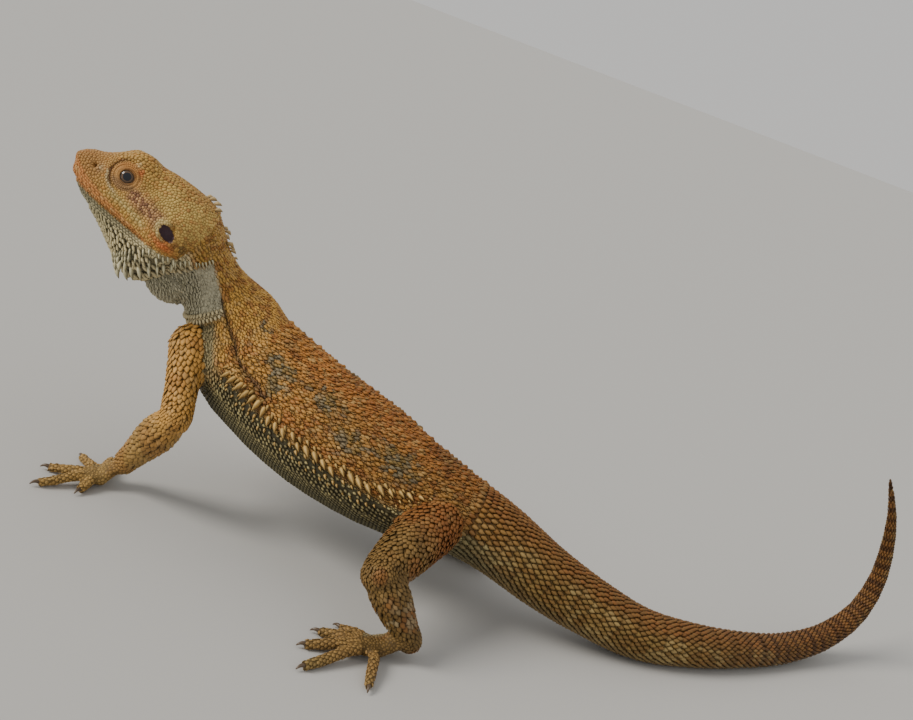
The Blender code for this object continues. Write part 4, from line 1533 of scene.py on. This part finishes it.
class DRAGON_OT_trunk_scales(ScaleOperator, Operator):
    """Keeled scales of the neck, back and flanks, the side spines and the fine belly rows"""

    bl_idname = "dragon.trunk_scales"
    bl_label = "Trunk scales"

    def execute(self, context):
        size = context.scene.dragon_coat
        finish = self.finish("dragon_scales")
        fringe = S["shoulder"] - 2
        coat = self.coat()
        lay_fringe(coat)
        lay_nape(coat)
        lay_collar(coat)
        lay_rings(coat, "spine", -3.0, fringe, steady(size.neck / MM),
                  steady(size.neck * 1.05 / MM), neck_scale, stray=0.5)
        fill_gaps(coat, -4, fringe, 181)
        build_scales("scales_neck", coat, finish, fitted=("plate",))
        back = self.coat()
        back.cells = coat.cells
        lay_bold(back, fringe, S["vent"])
        lay_rings(back, "spine", fringe, S["vent"], steady(size.back / MM),
                  steady(size.back * 1.04 / MM), back_scale, lambda s, turn: abs(turn) < 85,
                  stray=0.6)
        fill_gaps(back, fringe, S["vent"], 88)
        build_scales("scales_back", back, finish)
        belly = self.coat()
        belly.cells = coat.cells
        lay_rings(belly, "spine", fringe, S["vent"], steady(size.belly * 1.25 / MM),
                  steady(size.belly * 1.3 / MM), band_scale,
                  lambda s, turn: 86 <= abs(turn) < 104, stray=0.3)
        lay_rings(belly, "spine", fringe, S["vent"], steady(size.belly / MM),
                  steady(size.belly * 1.08 / MM), belly_scale, lambda s, turn: abs(turn) >= 104)
        build_scales("scales_belly", belly, finish)
        return {"FINISHED"}


class DRAGON_OT_tail_scales(ScaleOperator, Operator):
    """Rings of strongly keeled scales down the tail"""

    bl_idname = "dragon.tail_scales"
    bl_label = "Tail scales"

    def execute(self, context):
        size = context.scene.dragon_coat.tail / MM
        coat = self.coat()
        lay_rings(coat, "spine", S["vent"], AXES["spine"].length - 0.5,
                  lambda s: size * (1 - 0.45 * ease(s, S["tail_low"], S["tail_tip"])),
                  lambda s: size * (1.06 - 0.5 * ease(s, S["tail_low"], S["tail_tip"])),
                  tail_scale)
        build_scales("scales_tail", coat, self.finish("dragon_scales"))
        return {"FINISHED"}


class DRAGON_OT_limb_scales(ScaleOperator, Operator):
    """Large keeled scales of the arms and legs, and the plates of hands, feet and digits"""

    bl_idname = "dragon.limb_scales"
    bl_label = "Limb scales"

    def execute(self, context):
        size = context.scene.dragon_coat
        for limb in LIMBS:
            coat = self.coat()
            skin = coat.skin
            for number in range(1, 6):
                line = f"{limb}_{number}"
                lay_rings(coat, line, 1.0, AXES[line].length + 1.5, steady(size.digit / MM),
                          steady(size.digit * 1.15 / MM), digit_scale)
            stop = AXES[limb].stations[2]
            broad = size.limb / MM * (1.0 if limb.startswith("arm") else 0.92)

            def scale(point, generator):
                part, shade = limb_scale(limb, point, generator)
                wide = broad * part
                return keel(2.0 * wide, 1.5 * wide, 0.2 * wide + 0.06, 13.0, shade, 0.4,
                            reach=wide * 0.8)

            own = skin.point_axis == NUMBER[limb]
            scatter(coat, own & (skin.point_s < stop), 1.2, scale, lie_along(limb), 6)
            palm = own & (skin.point_s > stop - 4)
            palm |= np.isin(skin.point_axis, [NUMBER[f"{limb}_{n}"] for n in range(1, 6)])
            toward = unit(table(LIMBS[limb][3]) - table(LIMBS[limb][2])) * (1, 1, 0)

            def grain(point, generator):
                return dict(kind="plate", size=(1.2, 1.1, 0.26), lift=4.0, reach=0.92,
                            shade=generator.uniform(0.88, 1.1), rim=0.55)

            scatter(coat, palm, 1.1, grain, lambda point: toward)
            build_scales("scales_" + limb, coat, self.finish("dragon_scales"),
                         fitted=("plate",))
        return {"FINISHED"}


def lay_lids(coat):
    """Rings of grains round each eye."""
    for side in (-1, 1):
        level, upright, look = (axis @ HEAD_AXES for axis in round_eye(np.zeros(3), side)[3:])
        centre = at_head(*EYE_PLACE, side=side)
        for ring, (reach, grain) in enumerate(((2.95, 0.5), (3.5, 0.58), (4.15, 0.66),
                                               (4.85, 0.74))):
            count = round(2 * math.pi * reach / grain)
            for number in range(count):
                turn = (number + 0.5 * (ring % 2)) / count * 2 * math.pi
                out = level * math.cos(turn) + upright * math.sin(turn) * 0.93
                hit = coat.skin.cast(centre + look * 9.0 + out * reach, -look, 14.0)
                if hit:
                    coat.add("plate", hit, out, (grain * 1.05, grain * 1.05, 0.22), lift=3.0,
                             reach=grain * 0.72, rim=0.72)


def lay_lips(coat):
    """Long narrow plates in rows along both lips."""
    for row, over in enumerate((0.5, 1.3, 2.1, 2.9, 3.7, -0.7, -1.5, -2.3)):
        length = 2.1 if over > 0 else 1.35
        for side in (-1, 1):
            along = 0.2 + 0.5 * length * (row % 2)
            while along < MOUTH_END + 2:
                start = at_head(along, 40.0, mouth_line(along) + over, side)
                hit = coat.skin.cast(start, -HEAD_AXES[1] * side)
                if hit and over < lip_height(along):
                    fall = mouth_line(along + 0.5) - mouth_line(along - 0.5)
                    coat.add("flat", hit, HEAD_AXES[0] + HEAD_AXES[2] * fall,
                             (length * 1.1, 0.86, 0.3), lift=3.0, reach=0.78, rim=0.45)
                along += length * 0.95


def lay_beard(coat, spacing):
    """The jaw's spines, the rows between them and the chin, and what they leave bare."""
    lay_jaw_edge(coat)
    lay_rings(coat, "head", 2.5, 52.0,
              lambda s: spacing * (0.62 + 0.45 * ease(s, 4, 42)),
              lambda s: spacing * (0.66 + 0.42 * ease(s, 4, 42)),
              beard_scale, lambda s, turn: abs(turn) > 100)
    coat.rows = [row for row in coat.rows
                 if row[0] == "spike" or over_lip(in_head(row[1])) < -2.9
                 and cheek_edge(in_head(row[1])[None])[0] > 0.3]
    lay_under_jaw(coat)


def lay_plates(coat, width):
    """Plates over the rest of the head, largest on its top and finer near the eyes."""
    skin = coat.skin
    local = in_head(skin.points)
    wanted = (skin.point_axis == NUMBER["head"]) & (over_lip(local) > -3.6)
    wanted &= (ear_gap(local) > 1.02) & (gap_to(local, NOSTRIL) > 0.8)

    def plate(point, generator):
        where = in_head(point)
        eye = eye_gap(point[None])[0]
        if eye < 5.6 and where[2] < 12:
            return None
        top = ease(where[2], 6.0, 12.0)
        wide = width * (0.7 + 0.3 * top * (1 - 0.3 * ease(where[0], 30, 44)))
        wide *= generator.uniform(0.85, 1.15)
        wide *= 0.8 + 0.2 * ease(eye, 6, 9)
        return dict(kind="plate", size=(1.25 * wide, 1.25 * wide, 0.3 + 0.1 * top),
                    lift=6.0, reach=wide, shade=generator.uniform(0.88, 1.1), rim=0.72)

    scatter(coat, wanted, 1.1, plate, lambda point: HEAD_AXES[0])


class DRAGON_OT_head_scales(ScaleOperator, Operator):
    """Plates of the head, rings round the eyes, rows on the lips and the spiny beard"""

    bl_idname = "dragon.head_scales"
    bl_label = "Head scales"

    def execute(self, context):
        size = context.scene.dragon_coat
        coat = self.coat()
        lay_lids(coat)
        lay_lips(coat)
        beard = self.coat()
        beard.cells = coat.cells
        lay_beard(beard, size.beard / MM)
        build_scales("scales_beard", beard, self.finish("dragon_scales"))
        lay_plates(coat, size.plate / MM)
        build_scales("scales_head", coat, self.finish("dragon_scales"),
                     fitted=("plate",))
        return {"FINISHED"}


def lay_jaw_edge(coat):
    """Longer cream spines along the rear lower edge of the jaw, and lesser rows over it."""
    line = np.array(JAW_EDGE)
    steps = np.concatenate(([0.0], np.cumsum(np.linalg.norm(np.diff(line, axis=0), axis=1))))
    generator = np.random.default_rng(8)
    for row, (rise, tall) in enumerate(((0.0, 6.4), (2.6, 5.2), (5.0, 4.2), (7.2, 3.4))):
        for side in (-1, 1):
            way = 0.9 * row
            while way < steps[-1]:
                place = hermite(steps, line, np.array([way]))[0]
                place[2] += rise * 0.8
                place[0] -= rise * 0.6
                hit = coat.skin.nearest(at_head(*place, side=side))
                if row and cheek_edge(in_head(hit[0])[None])[0] < 0.6:
                    break
                height = tall * (1 - 0.55 * ease(way, 14, 34)) * generator.uniform(0.85, 1.1)
                lie = HEAD_AXES[0] * 0.6 - HEAD_AXES[2] * 0.77
                foot = height * 0.46
                coat.add("spike", hit, lie, (height, foot, 0.5 * foot), lift=38.0 - 3.0 * row,
                         reach=foot * 0.9, rim=0.35,
                         tint=paint(218, 210, 172) * generator.uniform(0.85, 1.08))
                way += foot * 0.98


def lay_under_jaw(coat):
    """Pointed scales wherever the rows of the beard leave bare skin."""
    skin = coat.skin
    local = in_head(skin.points)
    jaw = (skin.point_axis == NUMBER["head"]) & (over_lip(local) < -3.2)
    jaw |= (skin.point_axis == NUMBER["spine"]) & (skin.point_s < 9) & (
        abs(skin.point_angle) > 100) & (throat_share(skin.point_s, abs(skin.point_angle)) < 0.5)
    jaw &= (cheek_edge(local) > 0.8) & (local[:, 0] > 4)

    def spike(point, generator):
        grown = ease(in_head(point)[0], 6.0, 38.0)
        size = 0.75 + 0.4 * grown
        return keel(2.6 * size, 1.45 * size, 0.5 + 0.5 * grown, 10.0 + 16.0 * grown,
                    generator.uniform(0.88, 1.12), 0.2, reach=1.4 * size)

    scatter(coat, jaw, 1.3, spike, lambda point: HEAD_AXES[0] - HEAD_AXES[2] * 0.25, 9)


class DRAGON_OT_eyes(Operator):
    """Wet eyeballs with a round pupil and a thin copper iris"""

    bl_idname = "dragon.eyes"
    bl_label = "Eyes"

    def execute(self, context):
        for side, sign in (("left", 1), ("right", -1)):
            deselect()
            centre = at_head(*EYE_PLACE, side=sign)
            look = Vector(unit(mirrored(EYE_LOOK, sign)) @ HEAD_AXES)
            turn = look.to_track_quat("Z", "Y")
            bpy.ops.mesh.primitive_uv_sphere_add(segments=48, ring_count=32,
                                                 radius=EYE_BALL * MM)
            eye = context.object
            eye.name = eye.data.name = "eyeball_" + side
            points = points_of(eye)
            bulge = ease(points[:, 2], 3.3, 4.1)[:, None]
            put_points(eye, points * (1 + 0.05 * bulge))
            eye.rotation_euler = turn.to_euler()
            eye.location = Vector(centre) * MM
            bpy.ops.object.transform_apply(location=True, rotation=True, scale=True)
            bpy.ops.object.shade_smooth()
            eye.data.materials.append(eye_finish("eye_" + side, centre, turn))
            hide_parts("eye_" + side)
            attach(eye, "root")
        return {"FINISHED"}


def eye_finish(title, centre, turn):
    """Rings of colour round the line of sight."""
    finish, shader, make, link = new_finish(title)
    place, centred = make("ShaderNodeTexCoord"), make("ShaderNodeMapping")
    back = turn.inverted()
    centred.inputs["Rotation"].default_value = back.to_euler()
    centred.inputs["Location"].default_value = -(back @ (Vector(centre) * MM))
    split, reach = make("ShaderNodeSeparateXYZ"), make("ShaderNodeVectorMath")
    flat = make("ShaderNodeCombineXYZ")
    reach.operation = "LENGTH"
    scale = make("ShaderNodeMapRange")
    scale.inputs["From Max"].default_value = EYE_BALL * MM
    ramp = make("ShaderNodeValToRGB")
    stops = ((0.0, (0.006, 0.009, 0.015)), (0.34, (0.008, 0.011, 0.018)),
             (0.37, (0.20, 0.105, 0.045)), (0.42, (0.085, 0.055, 0.035)),
             (0.52, (0.065, 0.05, 0.04)), (0.58, (0.02, 0.016, 0.014)))
    elements = ramp.color_ramp.elements
    while len(elements) < len(stops):
        elements.new(0.5)
    for element, (at, colour) in zip(elements, stops):
        element.position = at
        element.color = (*colour, 1.0)
    link(place.outputs["Object"], centred.inputs["Vector"])
    link(centred.outputs["Vector"], split.inputs["Vector"])
    link(split.outputs["X"], flat.inputs["X"])
    link(split.outputs["Y"], flat.inputs["Y"])
    link(flat.outputs["Vector"], reach.inputs[0])
    link(reach.outputs["Value"], scale.inputs["Value"])
    link(scale.outputs["Result"], ramp.inputs["Fac"])
    link(ramp.outputs["Color"], shader.inputs["Base Color"])
    shader.inputs["Roughness"].default_value = 0.08
    shader.inputs["Specular IOR Level"].default_value = SPECULAR
    shader.inputs["Coat Weight"].default_value = 0.45
    shader.inputs["Coat Roughness"].default_value = 0.02
    return finish


def claw_finish():
    """Dark horn, unevenly stained."""
    finish, shader, make, link = new_finish("claw_horn")
    place, grain, ramp = (make("ShaderNodeTexCoord"), make("ShaderNodeTexNoise"),
                          make("ShaderNodeValToRGB"))
    grain.inputs["Scale"].default_value = 700.0
    ramp.color_ramp.elements[0].color = (0.05, 0.032, 0.02, 1)
    ramp.color_ramp.elements[1].color = (0.15, 0.098, 0.055, 1)
    link(place.outputs["Object"], grain.inputs["Vector"])
    link(grain.outputs["Fac"], ramp.inputs["Fac"])
    link(ramp.outputs["Color"], shader.inputs["Base Color"])
    shader.inputs["Roughness"].default_value = 0.32
    return finish


class DRAGON_OT_claws(Operator):
    """Smooth hooked claws in place of the faceted ones"""

    bl_idname = "dragon.claws"
    bl_label = "Claws"

    def execute(self, context):
        finish = claw_finish()
        for foot, side in itertools.product(("hand", "foot"), SIDES):
            names = [f"claw_{foot}_{side}_{number}" for number in range(1, 6)]
            claws = joined([merged_copy(name, 0.0) for name in names])
            claws.name = claws.data.name = f"claws_{foot}_{side}"
            apply(claws, "SUBSURF", levels=2, render_levels=2)
            choose(claws)
            bpy.ops.object.shade_smooth()
            claws.data.materials.append(finish)
            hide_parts(*names)
            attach(claws, "root")
        return {"FINISHED"}


class DragonCoat(PropertyGroup):
    """Sizes of the scales"""

    back: FloatProperty(name="Back", description="Spacing of the back's scales", default=0.0014,
                        unit="LENGTH", precision=5)
    belly: FloatProperty(name="Belly", description="Spacing of the belly's rows",
                         default=0.00125, unit="LENGTH", precision=5)
    neck: FloatProperty(name="Neck", description="Spacing on the neck and pouch",
                        default=0.00125, unit="LENGTH", precision=5)
    tail: FloatProperty(name="Tail", description="Spacing of the tail's rings at its root",
                        default=0.0021, unit="LENGTH", precision=5)
    limb: FloatProperty(name="Limbs", description="Spacing on the arms and legs",
                        default=0.0019, unit="LENGTH", precision=5)
    digit: FloatProperty(name="Digits", description="Spacing on the fingers and toes",
                         default=0.00125, unit="LENGTH", precision=5)
    plate: FloatProperty(name="Head plates", description="Width of the head's plates",
                         default=0.0011, unit="LENGTH", precision=5)
    beard: FloatProperty(name="Beard", description="Spacing of the grown beard scales",
                         default=0.0021, unit="LENGTH", precision=5)


class DRAGON_PT_panel(Panel):
    """The steps of the model, in order"""

    bl_idname = "DRAGON_PT_panel"
    bl_label = "Bearded dragon"
    bl_space_type = "VIEW_3D"
    bl_region_type = "UI"
    bl_category = "Dragon"

    def draw(self, context):
        for step in STEPS:
            self.layout.operator(step.bl_idname)
        for name in DragonCoat.__annotations__:
            self.layout.prop(context.scene.dragon_coat, name)


# ---------------------------------------------------------------- the studio
CAMERA_PLACE = (24.915, -385.425, 203.697)
CAMERA_TURN = 8.46
CAMERA_FALL = 17.0
CAMERA_ROLL = 21.0
FRAME_WIDTH = 913              # of the finished picture
FRAME_DEPTH = 1050             # how far off the frame stands, in the same measure
FILM_WIDTH = 36                # millimetres, the camera's own width
CAMERA_LENS = FRAME_DEPTH / FRAME_WIDTH * FILM_WIDTH
FLOOR_SIZE = 400.0             # metres


def soft_sun(title, away, power, colour):
    """A broad far light from a direction."""
    bpy.ops.object.light_add(type="SUN", location=(0, 0, 2))
    light = bpy.context.object
    light.name = title
    light.data.angle = math.radians(24)
    light.data.energy = power
    light.data.color = colour
    light.rotation_euler = Vector(away).to_track_quat("Z", "Y").to_euler()


class DRAGON_OT_stage(Operator):
    """A plain pale floor, soft lights and the camera"""

    bl_idname = "dragon.stage"
    bl_label = "Stage"

    def execute(self, context):
        deselect()
        bpy.ops.mesh.primitive_plane_add(size=FLOOR_SIZE, location=(0, 0, 0))
        floor = context.object
        floor.name = "floor"
        finish, shader, _, _ = new_finish("pale_floor")
        shader.inputs["Base Color"].default_value = (0.52, 0.515, 0.50, 1)
        shader.inputs["Roughness"].default_value = 0.9
        floor.data.materials.append(finish)
        soft_sun("key", (-0.9, -0.6, 0.85), 2.3, (1.0, 0.95, 0.87))
        world = bpy.data.worlds.new("studio")
        world.use_nodes = True
        world.node_tree.nodes["Background"].inputs["Color"].default_value = (0.80, 0.79, 0.77, 1)
        world.node_tree.nodes["Background"].inputs["Strength"].default_value = 0.8
        context.scene.world = world
        turn, fall, roll = (math.radians(a) for a in (CAMERA_TURN, CAMERA_FALL, CAMERA_ROLL))
        ahead = Vector((-math.sin(turn) * math.cos(fall), math.cos(turn) * math.cos(fall),
                        -math.sin(fall)))
        right = Vector((math.cos(turn), math.sin(turn), 0.0))
        up = right.cross(ahead)
        across = right * math.cos(roll) + up * math.sin(roll)
        upward = up * math.cos(roll) - right * math.sin(roll)
        bpy.ops.object.camera_add(location=Vector(CAMERA_PLACE) * MM)
        camera = context.object
        camera.name = "camera"
        camera.rotation_euler = Matrix((across, upward, -ahead)).transposed().to_euler()
        camera.data.lens = CAMERA_LENS
        camera.data.clip_start = 0.01
        context.scene.camera = camera
        return {"FINISHED"}


STEPS = (DRAGON_OT_skin, DRAGON_OT_trunk_scales, DRAGON_OT_tail_scales, DRAGON_OT_limb_scales,
         DRAGON_OT_head_scales, DRAGON_OT_eyes, DRAGON_OT_claws, DRAGON_OT_stage)
CLASSES = (DragonCoat, *STEPS, DRAGON_PT_panel)


def register():
    for item in CLASSES:
        bpy.utils.register_class(item)
    bpy.types.Scene.dragon_coat = PointerProperty(type=DragonCoat)


def unregister():
    del bpy.types.Scene.dragon_coat
    for item in reversed(CLASSES):
        bpy.utils.unregister_class(item)


def main():
    """Builds every piece in order."""
    register()
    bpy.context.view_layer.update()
    SHAPES.update(make_shapes())
    bpy.ops.dragon.skin()
    bpy.ops.dragon.trunk_scales()
    bpy.ops.dragon.tail_scales()
    bpy.ops.dragon.limb_scales()
    bpy.ops.dragon.head_scales()
    bpy.ops.dragon.eyes()
    bpy.ops.dragon.claws()
    bpy.ops.dragon.stage()


if __name__ == "__main__":
    main()
